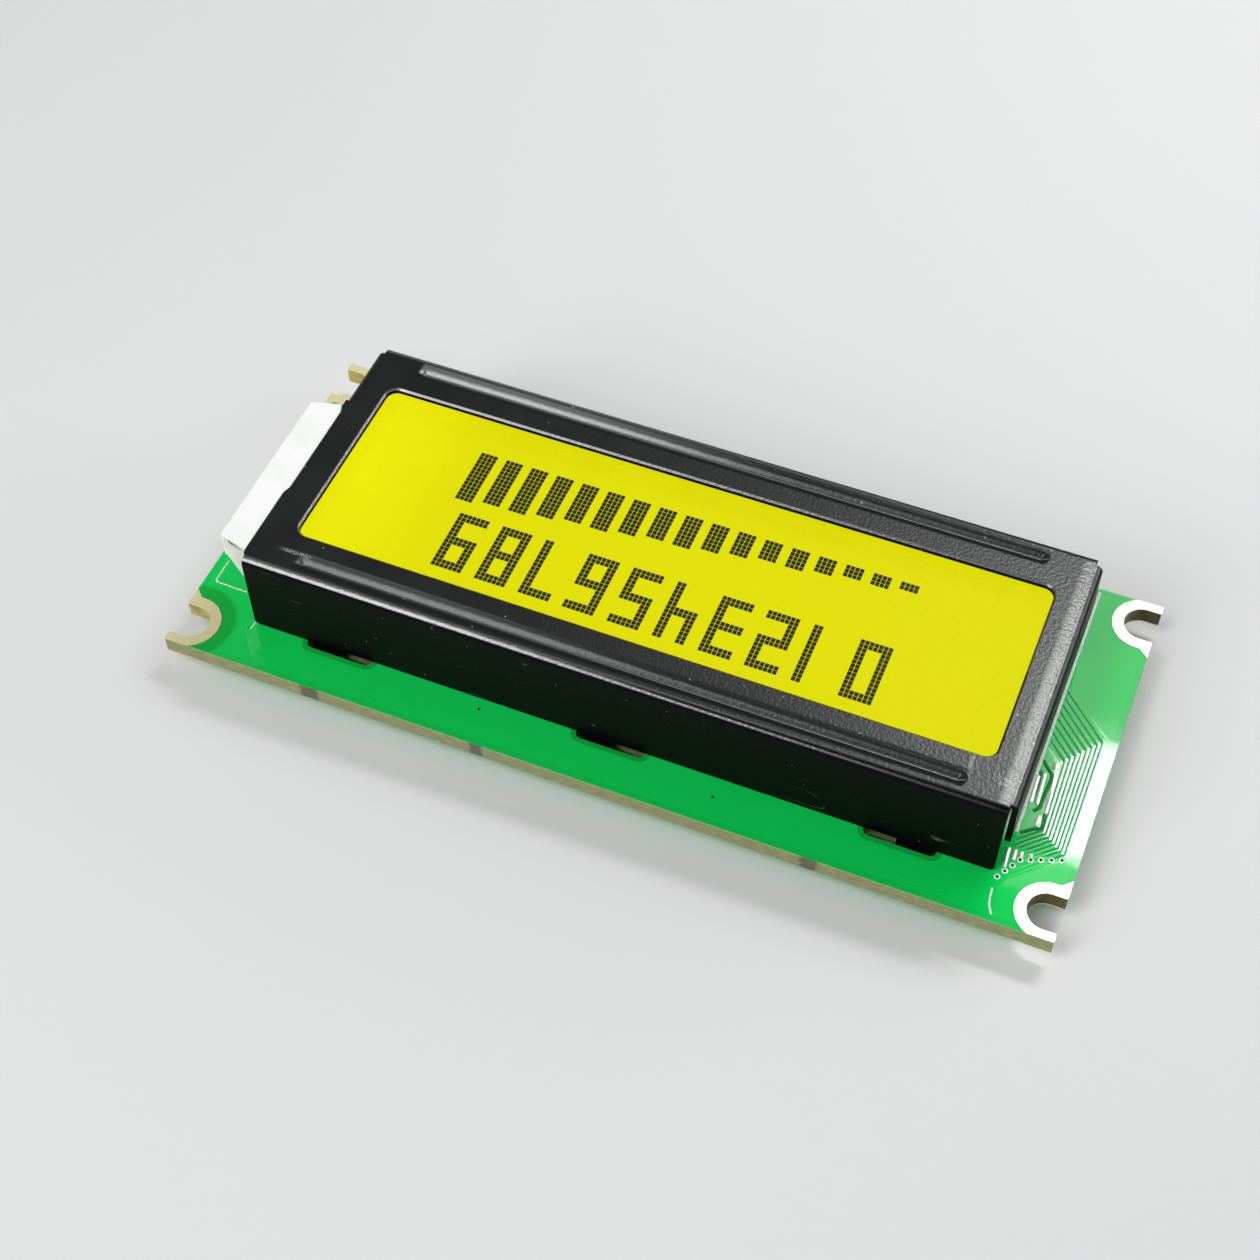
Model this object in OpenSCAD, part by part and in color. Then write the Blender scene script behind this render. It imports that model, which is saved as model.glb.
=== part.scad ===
// Graphic LCD module: a dot-matrix glass cell and its edge-lit backlight, clamped
// onto a circuit board by a folded steel bezel with lock tabs.
// Millimetres. X runs along the displayed lines to the reader's right, Y towards the
// top of the display and Z out of its face. The origin lies under the middle of the
// board, on the surface that the lock tabs stand on.

/* [Circuit board] */
// Length of the board
board_l = 80; // [78:0.5:90]
// Width of the board
board_w = 36; // [34:0.5:44]
// Thickness of the board
board_t = 1.6; // [1.0:0.1:2.0]

/* [Mounting notches] */
// Distance from a long board edge to the middle of a notch
notch_edge = 2.5; // [2.2:0.1:4]
// Width of a notch
notch_w = 3.4; // [2.6:0.1:4.0]
// Depth of a notch from the board end
notch_depth = 2.9; // [2.4:0.1:3.6]
// Width of the plated land around a notch
land_w = 1.0; // [0.4:0.1:1.3]
// Length of the land's point along the board end
land_point = 0.8; // [0.3:0.1:1.2]
// Thickness of the plating on lands, pads and notch walls
plating_t = 0.05; // [0.03:0.01:0.08]

/* [Pin header] */
// Number of pin holes
header_pins = 20; // [14:1:24]
// Distance between pin holes
header_pitch = 2.54; // [2.0:0.02:2.54]
// Diameter of a plated pin hole
header_hole_d = 1.0; // [0.8:0.05:1.1]
// Outer diameter of a pin pad
header_pad_d = 1.8; // [1.5:0.1:2.0]
// Distance from the board edge to the pin holes
header_edge = 1.9; // [1.5:0.1:2.4]

/* [Glass cell] */
// Thickness of each glass plate
glass_t = 1.1; // [0.5:0.1:1.2]
// Width of the contact ledge where the front glass overhangs the rear glass
ledge_w = 2.3; // [1.6:0.1:2.6]
// Gap between the plates that the liquid crystal fills
cell_gap = 0.05; // [0.03:0.01:0.1]
// Width of the glue line that seals the cell
seal_w = 1.0; // [0.6:0.1:1.5]
// Width of the filling port in the seal
port_w = 3; // [2:0.5:6]
// Thickness of each polarizer film
polarizer_t = 0.2; // [0.1:0.05:0.25]
// How far the polarizers reach past the window on every side
polarizer_lap = 1.2; // [0.6:0.1:1.4]
// How far the elastic strips stop short of the glass ends
strip_inset = 1.05; // [0.8:0.05:2]

/* [Bezel] */
// Thickness of the bezel's sheet steel
sheet_t = 0.5; // [0.3:0.05:0.6]
// Outer radius of the folds
bend_r = 0.65; // [0.6:0.05:0.9]
// Distance from the board ends to the bezel
border_l = 6; // [5.5:0.1:8]
// Distance from the long board edges to the bezel
border_w = 4.25; // [4.0:0.05:6]
// Offset of the bezel from the board's middle along X
bezel_x = -0.4; // [-1:0.1:1]
// Offset of the bezel from the board's middle along Y
bezel_y = -0.2; // [-0.6:0.1:0.6]
// Clearance between the front glass and the bezel walls
glass_gap = 0.3; // [0.15:0.05:0.5]
// Slit between an end flap and the ends of the long walls
corner_gap = 0.15; // [0.1:0.05:0.3]
// Distance from the bezel's end to the end of the long wall beside the lamp holder
lip_end = 0.2; // [0.1:0.05:0.6]
// How far the glass reaches past the ends of the window
frame_l = 2.25; // [1.8:0.05:4]
// How far the rear glass reaches past the sides of the window
frame_w = 1.45; // [1.4:0.05:2.5]
// Corner radius of the window
window_r = 1.0; // [0.6:0.1:2]
// Chamfer around the window's rim
rim_chamfer = 0.2; // [0.05:0.05:0.25]
// Distance from the bezel's ends to the ends of the stiffening beads
bead_end = 4.4; // [3:0.2:12]
// Width of the stiffening beads over their rounded shoulders
bead_w = 1.6; // [1.4:0.05:1.8]
// Depth of the stiffening beads
bead_depth = 0.35; // [0.25:0.05:0.4]
// Radius at the bottom of the stiffening beads
bead_floor_r = 0.25; // [0.15:0.05:0.35]
// Distance from the bezel's outer face to a bead's centre line
bead_inset = 1.75; // [1.65:0.05:1.9]
// Corner radius at the lower ends of the long walls
wall_r = 0.5; // [0.2:0.1:1]
// Distance from the long walls' outer faces to the end flaps
flap_inset = 0.9; // [0.7:0.05:1.5]
// Height of the end flaps, from the bezel's top down
flap_h = 5.75; // [3:0.25:7]
// Corner radius at the foot of the end flaps
flap_r = 0.8; // [0.4:0.1:1.5]
// Length of the shallow relief in the lip over the lamp holder
relief_l = 11.2; // [6:0.2:11.6]
// Depth of that relief
relief_depth = 0.25; // [0.1:0.05:0.4]
// Length of the slants at the relief's ends
relief_slant = 0.7; // [0.3:0.1:1]
// Clearance under the bezel walls and around what it clamps
seat_gap = 0.1; // [0.05:0.05:0.2]
// Clearance between the beads and the front glass
bead_clear = 0.02; // [0.01:0.01:0.05]

/* [Lock tabs] */
// Width of a lock tab
tab_w = 3; // [2:0.1:3.1]
// How far the lock tabs stand out under the board
tab_drop = 1.7; // [1.5:0.1:2.4]
// Twist of the lock tabs under the board, in degrees
tab_twist = 40; // [20:5:60]
// Distance from the bezel's ends to the outer lock tab slots
slot_end = 8.5; // [6:0.25:12]
// Length of a lock tab slot
slot_l = 6.3; // [5.5:0.1:7]
// Room in the slot outside the bezel wall
slot_out = 0.55; // [0.3:0.05:0.6]
// Room in the slot inside the bezel wall
slot_in = 0.15; // [0.1:0.05:0.3]

/* [Backlight] */
// Thickness of the tray's floor
tray_floor = 0.9; // [0.6:0.1:1.5]
// Thickness of the tray's walls
tray_wall = 0.8; // [0.5:0.1:1.2]
// Thickness of the light guide
guide_t = 4.1; // [3:0.1:5]
// Clearance between the light guide and the tray's walls
guide_gap = 0.1; // [0.05:0.05:0.2]
// Thickness of the reflector film under the light guide
reflector_t = 0.2; // [0.1:0.05:0.3]
// Thickness of the diffuser film on the light guide
diffuser_t = 0.2; // [0.1:0.05:0.3]

/* [Lamp holder] */
// Width of the narrow end flap beside the lamp holder
lamp_flap_w = 7.05; // [5:0.05:9]
// Distance from the bezel's long wall to the lamp holder
holder_side = 2; // [1.8:0.05:4]
// How far the lamp holder stands out past the bezel
holder_depth = 2.55; // [2.4:0.05:2.9]
// Height of the lamp holder's upright face
holder_face = 2.7; // [2:0.1:3.2]
// Thickness of the white film folded over the lamp holder
film_t = 0.2; // [0.1:0.05:0.3]
// How much the film widens towards the bezel at each end
film_flare = 0.75; // [0.3:0.05:0.9]
// Step between the bezel's top and the film
film_step = 0.1; // [0.05:0.05:0.3]
// Thickness of the lamp board
lamp_board_t = 0.6; // [0.4:0.1:0.8]
// Distance between lamps
lamp_pitch = 2.1; // [1.8:0.1:2.6]
// Room at each end of the lamp row
lamp_end = 1.95; // [1.9:0.05:3]
// Length of a lamp along the row
lamp_l = 1.6; // [1.2:0.1:1.7]
// Depth of a lamp towards the light guide
lamp_depth = 1.0; // [0.6:0.1:1.1]
// Height of a lamp
lamp_h = 0.8; // [0.5:0.1:1.2]
// Width of the holder's rim outside the lamp board
holder_rim = 0.4; // [0.3:0.05:0.6]
// Depth of the hollows in the holder's end walls under the lamp board
hollow_depth = 0.6; // [0.3:0.05:0.7]
// How far the hollows reach in from the holder's ends
hollow_l = 0.9; // [0.5:0.1:0.9]
// Diameter of the two legs that feed the lamps
leg_d = 0.5; // [0.4:0.05:0.6]
// Distance from the holder's ends to the legs
leg_end = 1.35; // [1:0.05:1.4]
// Distance from the holder's outer face to the legs
leg_inset = 1.05; // [1.0:0.05:1.2]
// Clearance around a leg in the board and the holder
leg_clear = 0.15; // [0.1:0.05:0.2]
// Clearance around a leg in the lamp board and in its solder
leg_fit = 0.02; // [0.01:0.01:0.04]
// How far the legs stand out under the board
leg_tail = 1.0; // [0.8:0.1:1.3]
// Height of the solder around a leg
solder_h = 0.8; // [0.5:0.1:0.8]
// How far the solder spreads past the edge of a leg hole
solder_spread = 0.5; // [0.3:0.1:0.6]
// Width of the solder at a leg's tip
solder_tip = 0.1; // [0.05:0.05:0.2]

/* [Underside] */
// Diameter of the epoxy caps over the bare chips
cap_d = 13; // [10:0.5:15]
// Height of the epoxy caps
cap_h = 1.3; // [0.8:0.1:1.4]
// Distance between the two epoxy caps
cap_pitch = 30; // [24:1:40]
// Length of a chip resistor or capacitor
chip_l = 2.0; // [1.6:0.1:2.4]
// Width of a chip resistor or capacitor
chip_w = 1.25; // [0.8:0.05:1.4]
// Height of a chip resistor
resistor_h = 0.55; // [0.4:0.05:0.7]
// Height of a chip capacitor
capacitor_h = 0.9; // [0.7:0.05:1.2]
// Length of the metal end of a chip
chip_end = 0.4; // [0.25:0.05:0.5]
// Distance between neighbouring chips
chip_pitch = 5.08; // [4:0.02:6]
// Number of chip resistors
resistor_count = 7; // [3:2:9]
// Number of chip capacitors
capacitor_count = 5; // [3:2:9]
// Distance from the bezel's wall to a row of chips
chip_row = 3.3; // [2.8:0.1:4.5]

/* [Hidden] */
$fn = 48;
// Overshoot of cutting shapes past the faces they cut
cut = 0.5;

// Heights of the stacked layers, from the standing surface up
board_z0 = tab_drop;
board_z1 = board_z0 + board_t;
reflector_z = board_z1 + tray_floor;
guide_z = reflector_z + reflector_t;
diffuser_z = guide_z + guide_t;
rear_polarizer_z = diffuser_z + diffuser_t;
rear_glass_z = rear_polarizer_z + polarizer_t;
seal_z = rear_glass_z + glass_t;
front_glass_z = seal_z + cell_gap;
front_polarizer_z = front_glass_z + glass_t;
plate_z = front_polarizer_z + max(bead_depth, polarizer_t) + bead_clear;
bezel_z1 = plate_z + sheet_t;

// Plan of the bezel and of what it clamps
bezel_l = board_l - 2 * border_l;
bezel_w = board_w - 2 * border_w;
wall_l = bezel_l - 2 * (sheet_t + corner_gap);
wall_foot = board_z1 + seat_gap;
flap_w = bezel_w - 2 * flap_inset;
glass_l = bezel_l - 2 * (sheet_t + glass_gap);
glass_w = bezel_w - 2 * (sheet_t + glass_gap);
rear_glass_w = glass_w - 2 * ledge_w;
window_l = glass_l - 2 * frame_l;
window_w = rear_glass_w - 2 * frame_w;
polarizer_l = window_l + 2 * polarizer_lap;
polarizer_w = window_w + 2 * polarizer_lap;
bead_arcs = (pow(bead_w / 2, 2) + pow(bead_depth, 2)) / (2 * bead_depth);
bead_lip_r = bead_arcs - bead_floor_r;
bead_slope = asin(bead_w / 2 / bead_arcs);
bead_y = bezel_w / 2 - bead_inset;
bead_l = bezel_l - 2 * bead_end;
slot_w = slot_out + sheet_t + slot_in;
slot_y = bezel_w / 2 + slot_out - slot_w / 2;
slot_xs = [for (i = [-1:1]) i * (bezel_l / 2 - slot_end)];

// Plan of the backlight, in the bezel's own frame
tray_l = glass_l;
tray_w = rear_glass_w;
guide_l = tray_l - 2 * (tray_wall + guide_gap);
guide_w = tray_w - 2 * (tray_wall + guide_gap);
flap_end = lamp_flap_w - flap_w / 2;
holder_y0 = flap_end + seat_gap + film_flare;
holder_y1 = bezel_w / 2 - holder_side;
holder_w = holder_y1 - holder_y0;
holder_y = (holder_y0 + holder_y1) / 2;
holder_x0 = bezel_l / 2 + seat_gap;
holder_x1 = holder_x0 + holder_depth;
lamp_count = floor((holder_w - 2 * lamp_end) / lamp_pitch);
neck_w = lamp_count * lamp_pitch;
neck_x = guide_l / 2;
film_z1 = bezel_z1 - film_step;
holder_z1 = film_z1 - film_t;
lamp_board_z = holder_z1 - lamp_board_t;
lamp_z = lamp_board_z - lamp_h;
lamp_pocket = lamp_depth + 2 * guide_gap;
hollow_w = holder_depth - holder_rim;
hollow_r = (pow(hollow_w / 2, 2) + pow(hollow_depth, 2)) / (2 * hollow_depth);
leg_x = holder_x1 - leg_inset;
leg_ys = [holder_y0 + leg_end, holder_y1 - leg_end];
leg_hole_d = leg_d + 2 * leg_clear;
leg_fit_d = leg_d + 2 * leg_fit;

// Places on the board
notch_spacing = board_w - 2 * notch_edge;
header_y = header_edge - board_w / 2;
header_drill_d = header_hole_d + 2 * plating_t;
header_xs = [for (i = [0 : header_pins - 1]) (i - (header_pins - 1) / 2) * header_pitch];
resistor_xs = [for (i = [0 : resistor_count - 1]) (i - (resistor_count - 1) / 2) * chip_pitch];
capacitor_xs = [for (i = [0 : capacitor_count - 1]) (i - (capacitor_count - 1) / 2) * chip_pitch];
resistor_y = bezel_y - bezel_w / 2 + chip_row;
capacitor_y = bezel_y + bezel_w / 2 - chip_row;

// Puts the children in the bezel's frame, which is shifted on the board
module in_bezel() {
    translate([bezel_x, bezel_y, 0]) children();
}

// Rectangle with round corners
module round_rect(size, r) {
    square([size[0] - 2 * r, size[1]], center = true);
    square([size[0], size[1] - 2 * r], center = true);
    for (x = [-1, 1])
        for (y = [-1, 1])
            translate([x * (size[0] / 2 - r), y * (size[1] / 2 - r)]) circle(r);
}

// Flat plate centred on the bezel's middle, standing at a given height
module plate(l, w, t, z) {
    in_bezel() translate([-l / 2, -w / 2, z]) cube([l, w, t]);
}

// Slot with round ends that a lock tab passes through
module slot_outline() {
    square([slot_l - slot_w, slot_w], center = true);
    for (i = [-1, 1]) translate([i * (slot_l - slot_w) / 2, 0]) circle(slot_w / 2);
}

// Mounting notch, open at the board end, widened all round by grow
module notch_outline(grow = 0) {
    r = notch_w / 2 + grow;
    x = board_l / 2 - notch_depth + notch_w / 2;
    translate([x, notch_spacing / 2]) circle(r);
    translate([x, notch_spacing / 2 - r]) square([board_l / 2 + cut - x, 2 * r]);
}

// Copies the children to the four corners of the board
module at_corners() {
    for (mx = [0, 1])
        for (my = [0, 1])
            mirror([mx, 0, 0]) mirror([0, my, 0]) children();
}

module printed_board() {
    color("#12b14c")
    translate([0, 0, board_z0])
    linear_extrude(board_t)
    difference() {
        square([board_l, board_w], center = true);
        at_corners() notch_outline(grow = plating_t);
        translate([bezel_x, bezel_y])
            for (x = slot_xs)
                for (side = [-1, 1])
                    translate([x, side * slot_y]) slot_outline();
        for (x = header_xs) translate([x, header_y]) circle(d = header_drill_d);
        translate([bezel_x, bezel_y])
            for (y = leg_ys) translate([leg_x, y]) circle(d = leg_hole_d);
    }
}

// U of a given width around one notch, kept on the board
module notch_ring(w) {
    difference() {
        intersection() {
            notch_outline(grow = w);
            square([board_l, board_w], center = true);
        }
        notch_outline();
    }
}

// Land around one notch, drawn out to a short point along the board end
module land_outline() {
    point_y = notch_spacing / 2 - notch_w / 2 - land_w;
    notch_ring(land_w);
    polygon([
        [board_l / 2, point_y - land_point],
        [board_l / 2, point_y + land_w / 2],
        [board_l / 2 - land_point, point_y + land_w / 2],
        [board_l / 2 - land_point, point_y]
    ]);
}

module notch_lands() {
    color("#e4d696")
    at_corners() {
        for (z = [board_z0 - plating_t, board_z1])
            translate([0, 0, z]) linear_extrude(plating_t) land_outline();
        translate([0, 0, board_z0 - plating_t])
            linear_extrude(board_t + 2 * plating_t)
            notch_ring(plating_t);
    }
}

// Plated pin holes: a pad on each face, joined by the plated wall of the hole
module header_pads() {
    color("#d9c98a")
    for (x = header_xs)
        translate([x, header_y, board_z0 - plating_t])
            difference() {
                union() {
                    for (z = [0, plating_t + board_t])
                        translate([0, 0, z]) cylinder(d = header_pad_d, h = plating_t);
                    cylinder(d = header_drill_d, h = board_t + 2 * plating_t);
                }
                translate([0, 0, -cut]) cylinder(d = header_hole_d, h = board_t + 2 * plating_t + 2 * cut);
            }
}

module backlight_tray() {
    color("#f4f5f0")
    in_bezel()
    difference() {
        translate([-tray_l / 2, -tray_w / 2, board_z1])
            cube([tray_l, tray_w, diffuser_z - board_z1]);
        translate([0, 0, reflector_z])
            linear_extrude(diffuser_z)
            square([guide_l + 2 * guide_gap, guide_w + 2 * guide_gap], center = true);
        translate([neck_x, holder_y - neck_w / 2 - guide_gap, reflector_z])
            cube([tray_wall + 2 * cut, neck_w + 2 * guide_gap, diffuser_z]);
    }
}

module reflector_film() {
    color("#ffffff") plate(guide_l, guide_w, reflector_t, reflector_z);
}

// Clear guide with a thick neck that stands up in front of the lamps
module light_guide() {
    neck_x0 = glass_l / 2 + seat_gap;
    color("#e8f0c0")
    union() {
        plate(guide_l, guide_w, guide_t, guide_z);
        in_bezel() translate([neck_x - cut, holder_y - neck_w / 2, guide_z])
            cube([holder_x0 - neck_x + cut, neck_w, guide_t]);
        in_bezel() translate([neck_x0, holder_y - neck_w / 2, guide_z])
            cube([holder_x0 - neck_x0, neck_w, min(lamp_board_z, plate_z) - seat_gap - guide_z]);
    }
}

module diffuser_film() {
    color("#fbfbe8") plate(tray_l, tray_w, diffuser_t, diffuser_z);
}

// Section of the lamp holder: upright outer face, and below it a slope back to the tray
module holder_section() {
    polygon([
        [holder_x0, reflector_z],
        [holder_x0, holder_z1],
        [holder_x1, holder_z1],
        [holder_x1, holder_z1 - holder_face + film_t],
        [holder_x0 + seat_gap, reflector_z]
    ]);
}

// Section of the hollow that the end walls have under the lamp board
module hollow_section() {
    intersection() {
        translate([holder_x0 + hollow_w / 2, lamp_board_z + hollow_r - hollow_depth]) circle(hollow_r, $fn = 96);
        translate([holder_x0, lamp_board_z - hollow_depth - cut])
            square([hollow_w, hollow_depth + cut + lamp_board_t / 2]);
    }
}

module lamp_holder() {
    lamp_side = neck_w + 2 * guide_gap;
    color("#eceee8")
    in_bezel()
    difference() {
        translate([0, holder_y + holder_w / 2, 0])
            rotate([90, 0, 0])
            linear_extrude(holder_w)
            holder_section();
        // bed of the lamp board
        translate([holder_x0 - cut, holder_y - holder_w, lamp_board_z])
            cube([holder_depth - holder_rim + cut, 2 * holder_w, lamp_board_t + cut]);
        // pocket of the lamps, open towards the light guide
        translate([holder_x0 - cut, holder_y - lamp_side / 2, lamp_z - guide_gap])
            cube([lamp_pocket + cut, lamp_side, lamp_h + guide_gap + cut]);
        for (y = leg_ys) translate([leg_x, y, 0]) cylinder(d = leg_hole_d, h = bezel_z1);
        // hollows in the tops of the end walls
        for (y = [holder_y0, holder_y1])
            translate([0, y, 0])
            rotate([90, 0, 0])
            linear_extrude(2 * hollow_l, center = true)
            hollow_section();
    }
}

module lamp_board() {
    color("#7d7a3c")
    in_bezel()
    difference() {
        translate([holder_x0, holder_y - holder_w / 2, lamp_board_z])
            cube([holder_depth - holder_rim - guide_gap, holder_w, lamp_board_t]);
        for (y = leg_ys)
            translate([leg_x, y, lamp_board_z - cut]) cylinder(d = leg_fit_d, h = 2 * cut + lamp_board_t);
    }
}

module lamps() {
    color("#d8e04a")
    in_bezel()
    for (i = [0 : lamp_count - 1])
        translate([
            holder_x0 + guide_gap,
            holder_y + (i - (lamp_count - 1) / 2) * lamp_pitch - lamp_l / 2,
            lamp_z
        ])
        cube([lamp_depth, lamp_l, lamp_h]);
}

module lamp_legs() {
    color("#c9ccd0")
    in_bezel()
    for (y = leg_ys)
        translate([leg_x, y, board_z0 - leg_tail])
            cylinder(d = leg_d, h = holder_z1 - board_z0 + leg_tail);
}

// Solder cones where the legs come through the board
module leg_solder() {
    foot_r = leg_hole_d / 2 + solder_spread;
    tip_r = leg_d / 2 + solder_tip;
    color("#b9bdc2")
    in_bezel()
    for (y = leg_ys)
        translate([leg_x, y, board_z0 - solder_h])
            difference() {
                cylinder(r1 = tip_r, r2 = foot_r, h = solder_h);
                translate([0, 0, -cut]) cylinder(d = leg_fit_d, h = solder_h + 2 * cut);
            }
}

// White film folded over the holder's top and down its outer face
module holder_film() {
    color("#ffffff")
    in_bezel() {
        translate([0, 0, holder_z1])
            linear_extrude(film_t)
            union() {
                polygon([
                    [holder_x0, holder_y0 - film_flare],
                    [holder_x1 + film_t, holder_y0],
                    [holder_x1 + film_t, holder_y1],
                    [holder_x0, holder_y1 + film_flare]
                ]);
                translate([seat_gap, 0]) relief_outline(seat_gap);
            }
        translate([holder_x1, holder_y0, film_z1 - holder_face])
            cube([film_t, holder_w, holder_face]);
    }
}

// Elastic strip that joins the glass contacts to the board
module zebra_strip(side) {
    strip_w = ledge_w - 2 * seat_gap;
    y = side * (glass_w / 2 - ledge_w / 2);
    strip_l = glass_l - 2 * strip_inset;
    color("#3a3d44")
    in_bezel() translate([-strip_l / 2, y - strip_w / 2, board_z1])
        cube([strip_l, strip_w, front_glass_z - board_z1]);
}

module zebra_strip_upper() {
    zebra_strip(1);
}

module zebra_strip_lower() {
    zebra_strip(-1);
}

module rear_polarizer() {
    color("#d6dc28") plate(polarizer_l, polarizer_w, polarizer_t, rear_polarizer_z);
}

module rear_glass() {
    color("#cfe3d6", 0.4) plate(glass_l, rear_glass_w, glass_t, rear_glass_z);
}

// Glue frame between the plates, open at the filling port
module cell_seal() {
    color("#e9ecd8")
    in_bezel()
    translate([0, 0, seal_z])
    linear_extrude(cell_gap)
    difference() {
        square([glass_l, rear_glass_w], center = true);
        square([glass_l - 2 * seal_w, rear_glass_w - 2 * seal_w], center = true);
        translate([-glass_l / 2 - cut, -port_w / 2]) square([seal_w + 2 * cut, port_w]);
    }
}

// Dab of resin that closes the filling port
module port_plug() {
    bead_h = glass_t;
    color("#d8d2b0")
    in_bezel() {
        translate([-glass_l / 2, -port_w / 2, seal_z]) cube([seal_w, port_w, cell_gap]);
        translate([-glass_l / 2 - glass_gap / 2, -port_w / 2, seal_z + cell_gap / 2 - bead_h / 2])
            cube([glass_gap / 2, port_w, bead_h]);
    }
}

module front_glass() {
    color("#cfe3d6", 0.4) plate(glass_l, glass_w, glass_t, front_glass_z);
}

module front_polarizer() {
    color("#dfe32a", 0.6) plate(polarizer_l, polarizer_w, polarizer_t, front_polarizer_z);
}

// Shallow relief in the lip over the lamp holder, with slanted ends, drawn in all round by inset
module relief_outline(inset = 0) {
    x = bezel_l / 2;
    mouth = relief_l / 2 - inset;
    polygon([
        [x + cut, mouth],
        [x, mouth],
        [x - relief_depth, mouth - relief_slant],
        [x - relief_depth, relief_slant - mouth],
        [x, -mouth],
        [x + cut, -mouth]
    ]);
}

// Outline of a folded edge: outer or inner side of the sheet, walls down to a given height
module fold_outline(w, r, top, bottom) {
    translate([-w / 2, bottom]) square([w, top - r - bottom]);
    translate([-w / 2 + r, bottom]) square([w - 2 * r, top - bottom]);
    for (i = [-1, 1]) translate([i * (w / 2 - r), top - r]) circle(r);
}

// Side view of a long wall up to a given end, with its lower corners rounded, across a width
module wall_view(end, y0, y1) {
    start = -wall_l / 2;
    translate([0, y1, 0])
        rotate([90, 0, 0])
        linear_extrude(y1 - y0) {
            translate([start, wall_foot + wall_r]) square([end - start, bezel_z1]);
            translate([start + wall_r, wall_foot]) square([end - start - 2 * wall_r, bezel_z1]);
            for (x = [start + wall_r, end - wall_r]) translate([x, wall_foot + wall_r]) circle(wall_r);
        }
}

// Top plate and the two long walls, folded from one sheet.
// The wall beside the lamp holder is the longer one, because no flap is folded down at its end.
module long_fold() {
    side = bezel_w / 2 + cut;
    intersection() {
        rotate([90, 0, 90])
            translate([0, 0, -wall_l / 2])
            linear_extrude(bezel_l)
            difference() {
                fold_outline(bezel_w, bend_r, bezel_z1, wall_foot);
                fold_outline(bezel_w - 2 * sheet_t, bend_r - sheet_t, plate_z, wall_foot - cut);
            }
        union() {
            wall_view(wall_l / 2, -side, cut);
            wall_view(bezel_l / 2 - lip_end, 0, side);
        }
    }
}

// Section of an end flap: a tongue of the top plate, the fold and the flap's root
module flap_section() {
    x = bezel_l / 2 - bend_r;
    z = bezel_z1 - bend_r;
    translate([wall_l / 2 - 2 * bend_r, plate_z]) square([x - wall_l / 2 + 2 * bend_r, sheet_t]);
    intersection() {
        difference() {
            translate([x, z]) circle(bend_r);
            translate([x, z]) circle(bend_r - sheet_t);
        }
        translate([x, z]) square(2 * bend_r);
    }
}

// End flap across a width, with its two lower corners rounded
module end_flap(y0, y1) {
    w = y1 - y0;
    drop = flap_h - bend_r;
    translate([0, y1, 0]) rotate([90, 0, 0]) linear_extrude(w) flap_section();
    translate([bezel_l / 2 - sheet_t, 0, 0])
        rotate([90, 0, 90])
        linear_extrude(sheet_t) {
            translate([y0, bezel_z1 - flap_h + flap_r]) square([w, drop - flap_r]);
            translate([y0 + flap_r, bezel_z1 - flap_h]) square([w - 2 * flap_r, drop]);
            for (y = [y0 + flap_r, y1 - flap_r])
                translate([y, bezel_z1 - flap_h + flap_r]) circle(flap_r);
        }
}

// Section of the trough of a bead, with rounded shoulders and a round bottom, up to a given height.
// It is measured from the top of the sheet, or by drop from a face deeper in the sheet.
module bead_section(drop, top) {
    floor_z = bead_floor_r - bead_depth;
    floor_r = bead_floor_r + drop;
    y = floor_r * sin(bead_slope);
    z = floor_z - floor_r * cos(bead_slope);
    intersection() {
        union() {
            translate([0, floor_z]) circle(floor_r);
            difference() {
                polygon([
                    [-bead_w / 2, top],
                    [-bead_w / 2, -drop],
                    [-y, z],
                    [y, z],
                    [bead_w / 2, -drop],
                    [bead_w / 2, top]
                ]);
                for (i = [-1, 1]) translate([i * bead_w / 2, -bead_lip_r]) circle(bead_lip_r - drop);
            }
        }
        translate([-bead_w / 2, -2 * bead_w]) square([bead_w, 2 * bead_w + top]);
    }
}

// Trough of a bead along X, with round ends
module bead(side, drop, top) {
    reach = (bead_l - bead_w) / 2;
    translate([0, side * bead_y, bezel_z1]) {
        translate([-reach, 0, 0])
            rotate([90, 0, 90])
            linear_extrude(2 * reach)
            bead_section(drop, top);
        for (turn = [0, 180])
            rotate(turn)
            translate([reach, 0, 0])
            rotate(-90)
            rotate_extrude(angle = 180)
            intersection() {
                bead_section(drop, top);
                translate([0, -2 * bead_w]) square(3 * bead_w);
            }
    }
}

// Window through the top plate, with its rim chamfered
module window_cut() {
    x = window_l / 2 - window_r;
    y = window_w / 2 - window_r;
    rim_z = bezel_z1 - rim_chamfer;
    wedge = [[0, 0], [0, 2 * rim_chamfer], [-2 * rim_chamfer, 2 * rim_chamfer]];
    translate([0, 0, plate_z - cut])
        linear_extrude(sheet_t + 2 * cut)
        round_rect([window_l, window_w], window_r);
    for (i = [-1, 1])
        for (j = [-1, 1])
            translate([i * x, j * y, rim_z])
                cylinder(r1 = window_r, r2 = window_r + 2 * rim_chamfer, h = 2 * rim_chamfer);
    for (turn = [0, 180]) {
        rotate(turn) translate([-window_l / 2, y, rim_z])
            rotate([90, 0, 0]) linear_extrude(2 * y) polygon(wedge);
        rotate(turn) translate([-x, -window_w / 2, rim_z])
            rotate([90, 0, 90]) linear_extrude(2 * x) polygon(wedge);
    }
}

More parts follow.
